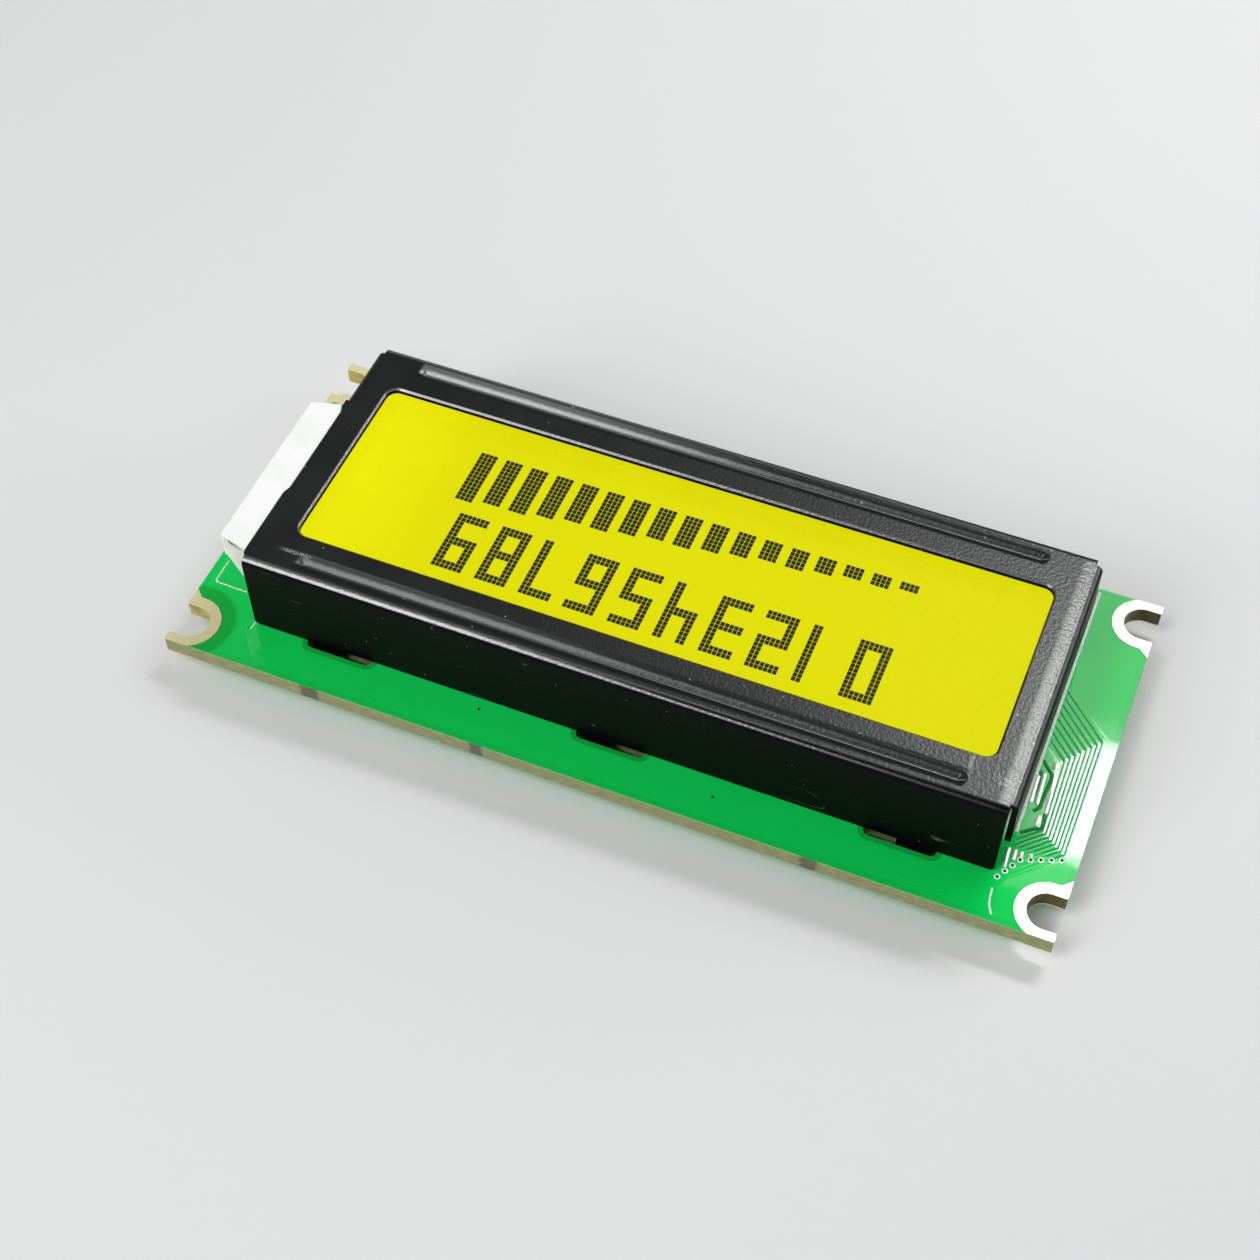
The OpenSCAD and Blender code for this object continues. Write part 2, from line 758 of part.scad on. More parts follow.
// Lock tab: a neck through the board, twisted below it
module lock_tab(x, side) {
    neck_z = board_z0 - seat_gap;
    lean = x < 0 ? -1 : 1;
    tab_x = x + lean * ((slot_l - slot_w - tab_w) / 2 + slot_in);
    translate([tab_x, side * (bezel_w - sheet_t) / 2, 0]) {
        translate([-tab_w / 2, -sheet_t / 2, neck_z])
            cube([tab_w, sheet_t, board_t + 2 * seat_gap + cut]);
        translate([0, 0, neck_z])
            rotate([180, 0, 0])
            linear_extrude(neck_z, twist = side * tab_twist, slices = 8, segments = 8)
            square([tab_w, sheet_t], center = true);
    }
}

module bezel() {
    color("#1b1c1e")
    in_bezel()
    difference() {
        union() {
            long_fold();
            rotate(180) end_flap(-flap_w / 2, flap_w / 2);
            end_flap(-flap_w / 2, flap_end);
            // plain lip of the top plate over the lamp holder
            translate([wall_l / 2 - bend_r, flap_end - cut, plate_z])
                cube([bezel_l / 2 - wall_l / 2 + bend_r, flap_w / 2 - flap_end + cut, sheet_t]);
            // underside of the beads, which bears on the glass over the elastic strips
            for (side = [-1, 1]) bead(side, sheet_t, -sheet_t / 2);
            for (x = slot_xs)
                for (side = [-1, 1])
                    lock_tab(x, side);
        }
        window_cut();
        for (side = [-1, 1]) bead(side, 0, cut);
        translate([0, 0, plate_z - cut]) linear_extrude(sheet_t + 2 * cut) relief_outline();
    }
}

// Dome of black resin over a bare chip, on the underside of the board
module epoxy_cap(x) {
    dome_r = (pow(cap_d / 2, 2) + pow(cap_h, 2)) / (2 * cap_h);
    color("#15161a")
    translate([x, 0, board_z0 - cap_h])
    rotate_extrude($fn = 96)
    intersection() {
        translate([0, dome_r]) circle(dome_r, $fn = 240);
        square([cap_d, cap_h]);
    }
}

module controller_cap() {
    epoxy_cap(-cap_pitch / 2);
}

module driver_cap() {
    epoxy_cap(cap_pitch / 2);
}

// Ceramic body of a chip part, between its metal ends, hanging under the board
module chip_body(x, y, h) {
    body_l = chip_l - 2 * chip_end;
    translate([x - body_l / 2, y - chip_w / 2, board_z0 - h]) cube([body_l, chip_w, h]);
}

// Two metal ends of a chip part
module chip_end_pair(x, y, h) {
    for (i = [0, 1])
        translate([x - chip_l / 2 + i * (chip_l - chip_end), y - chip_w / 2, board_z0 - h])
            cube([chip_end, chip_w, h]);
}

module chip_resistors() {
    color("#1a1a1c") for (x = resistor_xs) chip_body(x, resistor_y, resistor_h);
}

module chip_capacitors() {
    color("#b08c62") for (x = capacitor_xs) chip_body(x, capacitor_y, capacitor_h);
}

module chip_ends() {
    color("#c8cbd0") {
        for (x = resistor_xs) chip_end_pair(x, resistor_y, resistor_h);
        for (x = capacitor_xs) chip_end_pair(x, capacitor_y, capacitor_h);
    }
}

printed_board();
notch_lands();
header_pads();
backlight_tray();
reflector_film();
light_guide();
diffuser_film();
lamp_holder();
lamp_board();
lamps();
lamp_legs();
leg_solder();
holder_film();
zebra_strip_upper();
zebra_strip_lower();
rear_polarizer();
rear_glass();
cell_seal();
port_plug();
front_glass();
front_polarizer();
bezel();
controller_cap();
driver_cap();
chip_resistors();
chip_capacitors();
chip_ends();
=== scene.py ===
import functools
import math

import bmesh
import bpy
from mathutils import Color, Matrix, Vector


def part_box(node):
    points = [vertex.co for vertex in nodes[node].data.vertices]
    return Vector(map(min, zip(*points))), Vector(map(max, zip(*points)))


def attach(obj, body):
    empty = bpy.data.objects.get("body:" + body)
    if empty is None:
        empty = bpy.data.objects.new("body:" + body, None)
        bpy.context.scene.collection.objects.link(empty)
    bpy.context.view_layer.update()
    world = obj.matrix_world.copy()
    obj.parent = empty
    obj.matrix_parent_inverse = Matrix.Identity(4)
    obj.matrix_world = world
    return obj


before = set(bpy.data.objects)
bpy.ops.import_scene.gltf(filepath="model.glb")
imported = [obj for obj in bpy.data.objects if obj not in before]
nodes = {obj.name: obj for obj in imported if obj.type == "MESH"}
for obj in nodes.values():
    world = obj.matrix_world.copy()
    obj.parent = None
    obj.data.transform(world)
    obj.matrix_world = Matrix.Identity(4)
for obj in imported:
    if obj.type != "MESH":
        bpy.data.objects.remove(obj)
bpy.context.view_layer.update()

# Circuit board
# A sheet of glass-fibre epoxy under glossy green solder mask, routed to outline with bare tan edges and
# three rough spots where it was snapped off its panel. The mask is darker where the copper stops short, at
# the right-hand notches and the tab slots, and ribbed over a bundle of slanting tracks at the left end.
mm = 0.001
board_low, board_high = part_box("printed_board")
bezel_low, bezel_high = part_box("bezel")
bezel_mid = (bezel_low + bezel_high) / 2
notch_x = board_high.x - 1.2 * mm
notch_y = board_high.y - 2.5 * mm
bare_ring = 4.3 * mm
slot_pitch = 25.5 * mm
slot_y = 13.7 * mm
slot_half = 2.55 * mm
slot_margin = 1.1 * mm
edge_margin = 0.6 * mm
weave_pitch_x = 0.48 * mm
weave_pitch_y = 0.42 * mm
ply_pitch = 0.21 * mm
mask_relief = 0.001 * mm
snap_spots = ((25.9 * mm, 0.8 * mm), (10.1 * mm, 0.5 * mm), (-19.6 * mm, 0.7 * mm))
bundle_outer = ((-34.55, -6.02), (-38.66, -1.96), (-38.6, 9.91), (-37.5, 10.97))
bundle_inner = ((-34.52, -0.63), (-36.2, 1.07), (-36.36, 8.3), (-34.6, 10.0))
gap_count = 8


def shade(red, green, blue):
    """A colour given as on a screen, 0 to 255, as the linear colour that a shader takes."""
    linear = Color((red / 255, green / 255, blue / 255)).from_srgb_to_scene_linear()
    return (*linear, 1.0)


def feed(tree, node, inputs):
    """Wires sockets and sets constants on a node's inputs."""
    for name, value in inputs.items():
        if isinstance(value, bpy.types.NodeSocket):
            tree.links.new(value, node.inputs[name])
        else:
            node.inputs[name].default_value = value


def put(tree, kind, inputs=None, family="ShaderNode", **settings):
    """A new node with its settings made and its inputs fed."""
    node = tree.nodes.new(family + kind)
    for name, value in settings.items():
        setattr(node, name, value)
    feed(tree, node, inputs or {})
    return node


def calc(tree, operation, *values):
    """The result of one sum on numbers."""
    return put(tree, "Math", dict(enumerate(values)), operation=operation).outputs[0]


def product(tree, *factors):
    """Numbers multiplied with one another."""
    return functools.reduce(lambda first, second: calc(tree, "MULTIPLY", first, second), factors)


def largest(tree, *values):
    """The largest of some numbers."""
    return functools.reduce(lambda first, second: calc(tree, "MAXIMUM", first, second), values)


def apart(tree, first, second):
    """How far two numbers lie apart."""
    return calc(tree, "ABSOLUTE", calc(tree, "SUBTRACT", first, second))


def excess(tree, value, limit):
    """How far a number is over a limit, or 0."""
    return largest(tree, calc(tree, "SUBTRACT", value, limit), 0.0)


def hypotenuse(tree, first, second):
    """The length of a step whose two parts are at right angles."""
    return calc(tree, "SQRT", calc(tree, "MULTIPLY_ADD", first, first, product(tree, second, second)))


def waves(tree, place, pitch):
    """A sine wave with a given pitch."""
    return calc(tree, "SINE", product(tree, place, 2 * math.pi / pitch))


def rise(tree, value, low, high, bottom=0.0, top=1.0):
    """A smooth step from bottom to top while the value goes from low to high."""
    limits = {"Value": value, "From Min": low, "From Max": high, "To Min": bottom, "To Max": top}
    return put(tree, "MapRange", limits, interpolation_type="SMOOTHSTEP").outputs["Result"]


def mix(tree, share, under, over):
    """One colour laid over another."""
    return put(tree, "Mix", {0: share, 6: under, 7: over}, data_type="RGBA").outputs[2]


def grain(tree, here, size, detail=3.0, stretch=(1.0, 1.0, 1.0)):
    """Cloudy noise from 0 to 1 with lumps of about a given size."""
    spread = tuple(share / size for share in stretch)
    place = put(tree, "Mapping", {"Vector": here, "Scale": spread}).outputs["Vector"]
    return put(tree, "TexNoise", {"Vector": place, "Scale": 1.0, "Detail": detail}).outputs["Fac"]


def relief(tree, shader, height, depth):
    """Roughens a surface by a height of 0 to 1 times a depth."""
    bump = put(tree, "Bump", {"Height": height, "Strength": 1.0, "Distance": depth})
    tree.links.new(bump.outputs["Normal"], shader.inputs["Normal"])


def new_finish(name, **constants):
    """A material, its tree, its shader, and the place on the piece as a vector and as x, y and z."""
    finish = bpy.data.materials.new(name)
    finish.use_nodes = True
    tree = finish.node_tree
    shader = tree.nodes["Principled BSDF"]
    feed(tree, shader, {key.replace("_", " "): value for key, value in constants.items()})
    here = put(tree, "TexCoord").outputs["Object"]
    axes = put(tree, "SeparateXYZ", {"Vector": here}).outputs
    return finish, tree, shader, here, axes


def new_effect(name, inputs):
    """A shader node group with named inputs and a mask as its output, and its two ends."""
    group = bpy.data.node_groups.new(name, "ShaderNodeTree")
    for socket, kind in inputs.items():
        group.interface.new_socket(name=socket, in_out="INPUT", socket_type="NodeSocket" + kind)
    group.interface.new_socket(name="Mask", in_out="OUTPUT", socket_type="NodeSocketFloat")
    return group, group.nodes.new("NodeGroupInput").outputs, group.nodes.new("NodeGroupOutput").inputs["Mask"]


def scaled_down(tree, place, spacing):
    """A place counted in steps of a spacing."""
    steps = {0: place, "Scale": calc(tree, "DIVIDE", 1.0, spacing)}
    return put(tree, "VectorMath", steps, operation="SCALE").outputs["Vector"]


def effect(tree, group, inputs):
    """The mask that an effect gives in a finish."""
    return put(tree, "Group", inputs, node_tree=group).outputs["Mask"]


def dress(finish, *names):
    """Gives CAD nodes their finish."""
    for name in names:
        nodes[name].material_slots[0].material = finish


# specks of dust: one round dot in some of the cells of a scattered grid
dust, given, result = new_effect("dust_specks", {"Place": "Vector", "Spacing": "Float", "Share": "Float"})
spread = scaled_down(dust, given["Place"], given["Spacing"])
cells = put(dust, "TexVoronoi", {"Vector": spread, "Scale": 1.0}).outputs
chance = put(dust, "SeparateColor", {"Color": cells["Color"]}).outputs
reach = calc(dust, "MULTIPLY_ADD", chance["Green"], 0.09, 0.03)
speck = rise(dust, calc(dust, "DIVIDE", cells["Distance"], reach), 1.0, 0.6)
chosen = calc(dust, "LESS_THAN", chance["Red"], given["Share"])
dust.links.new(product(dust, speck, chosen), result)

# hair-thin scratches: the broken contour lines of a noise drawn out along one direction
scratch_inputs = {"Place": "Vector", "Turn": "Float", "Spacing": "Float", "Width": "Float", "Share": "Float"}
scratches, given, result = new_effect("hair_scratches", scratch_inputs)
turn = {"Vector": given["Place"], "Angle": given["Turn"]}
turned = put(scratches, "VectorRotate", turn, rotation_type="Z_AXIS").outputs["Vector"]
spread = scaled_down(scratches, turned, given["Spacing"])
drawn = put(scratches, "Mapping", {"Vector": spread, "Scale": (0.035, 1.0, 1.0)}).outputs["Vector"]
field = put(scratches, "TexNoise", {"Vector": drawn, "Scale": 1.0, "Detail": 1.0}).outputs["Fac"]
line = rise(scratches, apart(scratches, field, 0.5), given["Width"], 0.0)
breaks = put(scratches, "TexNoise", {"Vector": spread, "Scale": 0.35, "Detail": 2.0}).outputs["Fac"]
kept_from = calc(scratches, "SUBTRACT", 1.0, given["Share"])
kept = rise(scratches, breaks, kept_from, calc(scratches, "ADD", kept_from, 0.06))
scratches.links.new(product(scratches, line, kept), result)


def board_wall(tree, level, clear, full):
    """1 on the cut walls of the board, risen from 0 between two depths inside its faces."""
    over_foot = rise(tree, level, board_low.z + clear, board_low.z + full)
    under_top = rise(tree, level, board_high.z - clear, board_high.z - full)
    return product(tree, over_foot, under_top)


finish, tree, shader, here, axes = new_finish("green_solder_mask", Specular_IOR_Level=0.35)
# where the copper stops short
across = calc(tree, "ABSOLUTE", axes["X"])
along = calc(tree, "ABSOLUTE", axes["Y"])
in_from_notch = calc(tree, "MINIMUM", calc(tree, "SUBTRACT", across, notch_x), 0.0)
from_notch = hypotenuse(tree, in_from_notch, calc(tree, "SUBTRACT", along, notch_y))
bare_notch = rise(tree, from_notch, bare_ring, bare_ring - 0.6 * mm, 0.0, 0.95)
bare_notch = product(tree, bare_notch, rise(tree, axes["X"], 0.0, 20.0 * mm))
from_middle = calc(tree, "SUBTRACT", axes["X"], bezel_mid.x)
slot_run = calc(tree, "WRAP", from_middle, slot_pitch / 2, -slot_pitch / 2)
past_slot = excess(tree, calc(tree, "ABSOLUTE", slot_run), slot_half)
off_slot = calc(tree, "SUBTRACT", apart(tree, axes["Y"], bezel_mid.y), slot_y)
bare_slot = rise(tree, hypotenuse(tree, past_slot, off_slot), slot_margin, slot_margin - 0.1 * mm)
from_end = calc(tree, "SUBTRACT", board_high.x, across)
from_edge = calc(tree, "MINIMUM", from_end, calc(tree, "SUBTRACT", board_high.y, along))
bare_edge = rise(tree, from_edge, edge_margin, edge_margin - 0.1 * mm, 0.0, 0.25)
bare = largest(tree, bare_notch, bare_slot, bare_edge)
# the mask, with the glass weave showing faintly through it
cloud = grain(tree, here, 2.5 * mm)
weave = product(tree, waves(tree, axes["X"], weave_pitch_x), waves(tree, axes["Y"], weave_pitch_y))
weave = calc(tree, "MULTIPLY_ADD", weave, 0.5, 0.5)
mask_colour = mix(tree, bare, shade(6, 213, 88), shade(5, 172, 58))
mask_colour = mix(tree, rise(tree, cloud, 0.35, 0.7, 0.0, 0.1), mask_colour, shade(5, 190, 74))
mask_colour = mix(tree, product(tree, weave, 0.06), mask_colour, shade(70, 214, 120))
specks = effect(tree, dust, {"Place": here, "Spacing": 1.4 * mm, "Share": 0.12})
mask_colour = mix(tree, product(tree, specks, 0.35), mask_colour, shade(190, 215, 195))
# bare cut walls: plies one above the other, tool marks, and the rough snapped spots
plies = waves(tree, axes["Z"], ply_pitch)
fibres = grain(tree, here, 0.12 * mm, 4.0, (0.12, 0.12, 1.0))
cut_colour = mix(tree, calc(tree, "MULTIPLY_ADD", plies, 0.2, 0.3), shade(150, 152, 104), shade(104, 114, 66))
cut_colour = mix(tree, rise(tree, fibres, 0.45, 0.75, 0.0, 0.7), cut_colour, shade(196, 192, 158))
cut_edge = rise(tree, axes["Z"], board_high.z - 0.2 * mm, board_high.z - 0.06 * mm, 0.0, 0.6)
cut_colour = mix(tree, cut_edge, cut_colour, shade(176, 200, 150))
snapped = 0.0
for middle, half in snap_spots:
    ragged = calc(tree, "MULTIPLY_ADD", grain(tree, here, 0.4 * mm), 1.2 * mm, apart(tree, axes["X"], middle))
    snapped = largest(tree, snapped, rise(tree, ragged, half + 0.8 * mm, half + 0.5 * mm))
on_upper_edge = rise(tree, axes["Y"], board_high.y - 0.1 * mm, board_high.y)
snapped = product(tree, snapped, on_upper_edge, rise(tree, fibres, 0.3, 0.6, 0.5, 1.0))
cut_colour = mix(tree, snapped, cut_colour, shade(96, 92, 84))
wall = board_wall(tree, axes["Z"], 0.01 * mm, 0.03 * mm)
feed(tree, shader, {
    "Base Color": mix(tree, wall, mask_colour, cut_colour),
    "Roughness": calc(tree, "MULTIPLY_ADD", wall, 0.6, rise(tree, cloud, 0.3, 0.7, 0.03, 0.05)),
})


def off_line(start, end):
    """How far a place lies to the left of a line on the board, given in millimetres."""
    run = (Vector(end) - Vector(start)).normalized()
    shift = (run.y * start[0] - run.x * start[1]) * mm
    return calc(tree, "MULTIPLY_ADD", axes["X"], -run.y, calc(tree, "MULTIPLY_ADD", axes["Y"], run.x, shift))


def ribs(first, second, beyond):
    """The ribbed skin over the slanting tracks between two of the bundle's corners."""
    inside = off_line(bundle_outer[first], bundle_outer[second])
    run = (Vector(bundle_outer[second]) - Vector(bundle_outer[first])).normalized()
    reach = abs(run.cross(Vector(bundle_inner[first]) - Vector(bundle_outer[first]))) * mm
    pitch = reach / (gap_count - 1)
    rib = calc(tree, "COSINE", product(tree, inside, 2 * math.pi / pitch))
    zone = rise(tree, apart(tree, inside, -reach / 2), reach / 2 + pitch, reach / 2 + 0.5 * pitch)
    return product(tree, rib, zone, rise(tree, beyond, 0.0, 0.2 * mm))


upper_bend = off_line(bundle_inner[1], bundle_outer[1])
lower_bend = off_line(bundle_outer[2], bundle_inner[2])
ribbed = calc(tree, "ADD", ribs(0, 1, upper_bend), ribs(2, 3, lower_bend))
skin = calc(tree, "MULTIPLY_ADD", grain(tree, here, 2.2 * mm, 1.0), 4.0, product(tree, weave, 0.15))
skin = calc(tree, "MULTIPLY_ADD", grain(tree, here, 0.35 * mm), 0.15, skin)
skin = calc(tree, "MULTIPLY_ADD", ribbed, -6.0, skin)
skin = calc(tree, "MULTIPLY_ADD", product(tree, fibres, wall), 8.0, skin)
relief(tree, shader, skin, mask_relief)
dress(finish, "printed_board")

# Copper tracks
# Etched copper under the solder mask at the left end of the board: a bundle that leaves the bezel at a
# slant, runs along the board end and turns back to the vias. The mask sinks between the tracks: each gap
# is a dark line, copper-free mask darkened further as painted shade, with a light lip of painted highlight.
gap_w = 0.08 * mm
lip_highlight_w = 0.07 * mm
lip_highlight_shift = 0.27
track_h = 0.035 * mm
gap_h = 0.008 * mm
gap_level = board_high.z + 0.4 * gap_h
bundle_corner = 0.15 * mm
bundle_foot_x = -34.6
bundle_foot_y = 10.55
bundle_turn = 0.965


def clouded(name, size, first, second, rough, blend=None, skin=None, detail=3.0, stretch=(1.0, 1.0, 1.0), **constants):
    """A finish that drifts between two colours and two roughnesses in clouds of a given size.

    The blend is the part of the clouds over which the colours change. The skin is the size and the depth of
    the unevenness of the surface.
    """
    finish, tree, shader, here, axes = new_finish(name, **constants)
    cloud = grain(tree, here, size, detail, stretch)
    share = rise(tree, cloud, *blend) if blend else cloud
    feed(tree, shader, {
        "Base Color": mix(tree, share, shade(*first), shade(*second)),
        "Roughness": rise(tree, cloud, 0.3, 0.7, *rough),
    })
    if skin:
        skin_size, depth = skin
        relief(tree, shader, grain(tree, here, skin_size, detail, stretch), depth)
    return finish


def geometry_tree(name, inputs):
    """A geometry node tree with named inputs, and its two ends."""
    tree = bpy.data.node_groups.new(name, "GeometryNodeTree")
    tree.is_modifier = True
    for socket, kind in {"Geometry": "Geometry", **inputs}.items():
        tree.interface.new_socket(name=socket, in_out="INPUT", socket_type="NodeSocket" + kind)
    tree.interface.new_socket(name="Geometry", in_out="OUTPUT", socket_type="NodeSocketGeometry")
    return tree, tree.nodes.new("NodeGroupInput").outputs, tree.nodes.new("NodeGroupOutput").inputs["Geometry"]


def grow(tree, kind, inputs, **settings):
    """What a new geometry node gives, with its settings made and its inputs fed."""
    return put(tree, kind, inputs, "GeometryNode", **settings).outputs[0]


def grown(name, points, edges, tree, sizes):
    """The piece that a geometry tree grows from points and lines, as a plain mesh on the root body."""
    seed = bpy.data.meshes.new(name)
    seed.from_pydata(points, edges, [])
    piece = bpy.data.objects.new(name, seed)
    bpy.context.scene.collection.objects.link(piece)
    modifier = piece.modifiers.new(name, "NODES")
    modifier.node_group = tree
    for item in tree.interface.items_tree:
        if item.in_out == "INPUT" and item.name in sizes:
            modifier[item.identifier] = sizes[item.name]
    graph = bpy.context.evaluated_depsgraph_get()
    piece.data = bpy.data.meshes.new_from_object(piece.evaluated_get(graph))
    piece.modifiers.clear()
    outward = bmesh.new()
    outward.from_mesh(piece.data)
    bmesh.ops.remove_doubles(outward, verts=outward.verts, dist=1e-8)
    bmesh.ops.recalc_face_normals(outward, faces=outward.faces)
    outward.to_mesh(piece.data)
    outward.free()
    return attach(piece, "root")


# a flat ribbon with sloping sides along every line of the seed mesh
ribbon, given, result = geometry_tree(
    "ribbon", {"Width": "Float", "Height": "Float", "Corner": "Float", "Finish": "Material"}
)
path = grow(ribbon, "MeshToCurve", {"Mesh": given["Geometry"]})
rounding = {"Curve": path, "Radius": given["Corner"], "Limit Radius": True, "Count": 3}
path = grow(ribbon, "FilletCurve", rounding, mode="POLY")
path = grow(ribbon, "SetCurveNormal", {"Curve": path}, mode="Z_UP")
foot = calc(ribbon, "ADD", given["Height"], given["Width"])
trapezoid = {"Bottom Width": foot, "Top Width": given["Width"], "Offset": 0.0, "Height": given["Height"]}
section = grow(ribbon, "CurvePrimitiveQuadrilateral", trapezoid, mode="TRAPEZOID")
shape = grow(ribbon, "CurveToMesh", {"Curve": path, "Profile Curve": section, "Fill Caps": True})
shape = grow(ribbon, "SetMaterial", {"Geometry": shape, "Material": given["Finish"]})
ribbon.links.new(shape, result)


def ribbons(name, paths, width, height, corner, finish, level):
    """Ribbons along paths given in millimetres, their middle on a level."""
    points, edges = [], []
    for path in paths:
        edges += [(len(points) + i, len(points) + i + 1) for i in range(len(path) - 1)]
        points += [(x * mm, y * mm, level) for x, y in path]
    sizes = {"Width": width, "Height": height, "Corner": corner, "Finish": finish}
    return grown(name, points, edges, ribbon, sizes)


def bundle_line(share):
    """The path of one line of the bundle, from 0, the outermost, to 1."""
    path = [Vector(a).lerp(Vector(b), share) for a, b in zip(bundle_outer[:3], bundle_inner[:3])]
    run = min(bundle_foot_x - path[-1].x, (bundle_foot_y - path[-1].y) / bundle_turn)
    return path + [path[-1] + Vector((run, run * bundle_turn))]


# the light green of copper under the mask; on the lips it serves as a painted highlight
copper_and_lip_highlight_finish = clouded(
    "masked_copper_and_lip_highlight", 0.6 * mm, (112, 222, 160), (140, 232, 180), (0.07, 0.12),
    blend=(0.35, 0.7), skin=(0.2 * mm, 0.002 * mm), Specular_IOR_Level=0.7,
)
# the gaps' dark green: copper-free mask, darkened further as painted shade
gap_finish = clouded(
    "mask_in_gaps", 0.3 * mm, (4, 128, 46), (8, 146, 56), (0.35, 0.5), Specular_IOR_Level=0.3
)
gap_lines = [bundle_line(i / (gap_count - 1)) for i in range(gap_count)]
# the lips beside the gaps are painted highlights, the lit edges of the mask
lip_highlight_lines = [bundle_line((i - lip_highlight_shift) / (gap_count - 1)) for i in range(gap_count)]
ribbons("track_gaps", gap_lines, gap_w, gap_h, bundle_corner, gap_finish, gap_level)
ribbons("track_lip_highlights", lip_highlight_lines, lip_highlight_w, gap_h, bundle_corner, copper_and_lip_highlight_finish, gap_level)

# Tinned strips
# A few wider tracks beside the bundle are left free of mask and coated with solder, with a blob where one
# ends; their near-white colour is partly a painted glare. The copper is etched away between them, so the mask is dark
# there.
strip_w = 0.288 * mm
strip_h = 1.4 * track_h
strip_level = board_high.z + 0.6 * track_h
strip_corner = 0.1 * mm
strip_paths = [
    [(-35.06, 2.82), (-35.24, 6.05)],
    [(-35.68, 1.5), (-35.98, 2.45), (-36.15, 6.6)],
    [(-35.75, 7.0), (-35.74, 8.04)],
    [(-34.6, 3.26), (-34.72, 6.04)],
    [(-34.29, 10.9), (-34.42, 12.8)],
    [(-34.85, 10.9), (-34.91, 11.9)],
    [(-35.35, 10.9), (-35.42, 11.45)],
    [(-36.1, 10.85), (-36.16, 11.15)],
]
blob_w = 0.5 * mm
blob_h = 2.0 * track_h
blob_level = board_high.z + 0.9 * track_h
blob_path = [[(-35.72, 1.51), (-35.74, 2.17)]]
bare_w = 0.3 * mm
bare_corner = 0.3 * mm
bare_paths = [
    [
        (-34.55, 1.57), (-35.08, 2.18), (-35.61, 2.71), (-35.71, 3.25),
        (-35.62, 4.34), (-35.57, 5.33), (-35.56, 6.22), (-35.14, 6.79),
    ],
    [(-34.53, 2.66), (-34.82, 2.99), (-34.85, 3.92), (-34.80, 4.92), (-34.72, 5.68), (-34.60, 6.05)],
    [(-36.11, 6.68), (-36.21, 7.40), (-36.26, 8.17), (-35.60, 8.44), (-34.72, 9.19)],
]
# near-white solder, its whiteness partly a painted glare
solder_coat_and_glare = clouded(
    "solder_coat_and_glare", 0.25 * mm, (244, 246, 243), (222, 228, 222), (0.25, 0.4),
    blend=(0.3, 0.7), skin=(0.1 * mm, 0.004 * mm), Metallic=0.35,
)
ribbons("tinned_strips", strip_paths, strip_w, strip_h, strip_corner, solder_coat_and_glare, strip_level)
ribbons("solder_blob", blob_path, blob_w, blob_h, 0.0, solder_coat_and_glare, blob_level)
ribbons("strip_gaps", bare_paths, bare_w, gap_h, bare_corner, gap_finish, gap_level)

# Vias
# Plated holes that carry tracks through the board: a bent row with bare tinned rings by the bundle,
# and two small ones filled by the mask on the upper strip. Each hole is a dark disc of painted shade, and the filled
# vias' rings wear the same dark colour.
via_corners = [Vector(point) for point in ((-34.16, 13.88), (-35.44, 11.69), (-38.58, 10.47))]
via_ring_r = 0.2 * mm
via_ring_w = 0.13 * mm
via_hole_r = 0.13 * mm
ring_facets = 20
hole_facets = 16
filled_vias = ((11.3, 14.56), (-10.3, 15.4))
filled_scale = 0.5

# a ring and a hole, a dark disc of painted shade, on every point of the seed mesh
via_inputs = {"Radius": "Float", "Width": "Float", "Height": "Float", "Hole": "Float"}
via_field, given, result = geometry_tree(
    "via_field", {**via_inputs, "Ring finish": "Material", "Hole shade finish": "Material"}
)
round_path = {"Resolution": ring_facets, "Radius": given["Radius"]}
circle = grow(via_field, "CurvePrimitiveCircle", round_path, mode="RADIUS")
rectangle = {"Width": given["Width"], "Height": given["Height"]}
section = grow(via_field, "CurvePrimitiveQuadrilateral", rectangle, mode="RECTANGLE")
ring = grow(via_field, "CurveToMesh", {"Curve": circle, "Profile Curve": section})
ring = grow(via_field, "SetMaterial", {"Geometry": ring, "Material": given["Ring finish"]})
cylinder = {"Vertices": hole_facets, "Radius": given["Hole"], "Depth": given["Height"]}
plug = grow(via_field, "MeshCylinder", cylinder)
plug = grow(via_field, "SetMaterial", {"Geometry": plug, "Material": given["Hole shade finish"]})
via = via_field.nodes.new("GeometryNodeJoinGeometry")
for half in (ring, plug):
    via_field.links.new(half, via.inputs["Geometry"])
spots = {"Points": given["Geometry"], "Instance": via.outputs["Geometry"]}
vias = grow(via_field, "InstanceOnPoints", spots)
vias = grow(via_field, "RealizeInstances", {"Geometry": vias})
via_field.links.new(vias, result)

# the dark of the holes is painted shade
hole_shade_finish = clouded("via_hole_shade", 0.1 * mm, (8, 40, 20), (12, 60, 28), (0.5, 0.7), Specular_IOR_Level=0.2)


def vias_at(name, places, ring_finish, level, scale=1.0):
    """Vias at places given in millimetres, their middle on a level."""
    points = [(x * mm, y * mm, level) for x, y in places]
    sizes = {"Radius": via_ring_r, "Width": via_ring_w, "Height": track_h, "Hole": via_hole_r}
    sizes = {size: value * scale for size, value in sizes.items()}
    finishes = {"Ring finish": ring_finish, "Hole shade finish": hole_shade_finish}
    return grown(name, points, [], via_field, {**sizes, **finishes})


start, bend, end = via_corners
via_row = [start.lerp(bend, i / 3) for i in range(4)] + [bend.lerp(end, i / 4) for i in range(1, 5)]
vias_at("bare_vias", via_row, solder_coat_and_glare, board_high.z + 0.4 * track_h)
vias_at("filled_vias", filled_vias, hole_shade_finish, board_high.z + 0.1 * track_h, filled_scale)

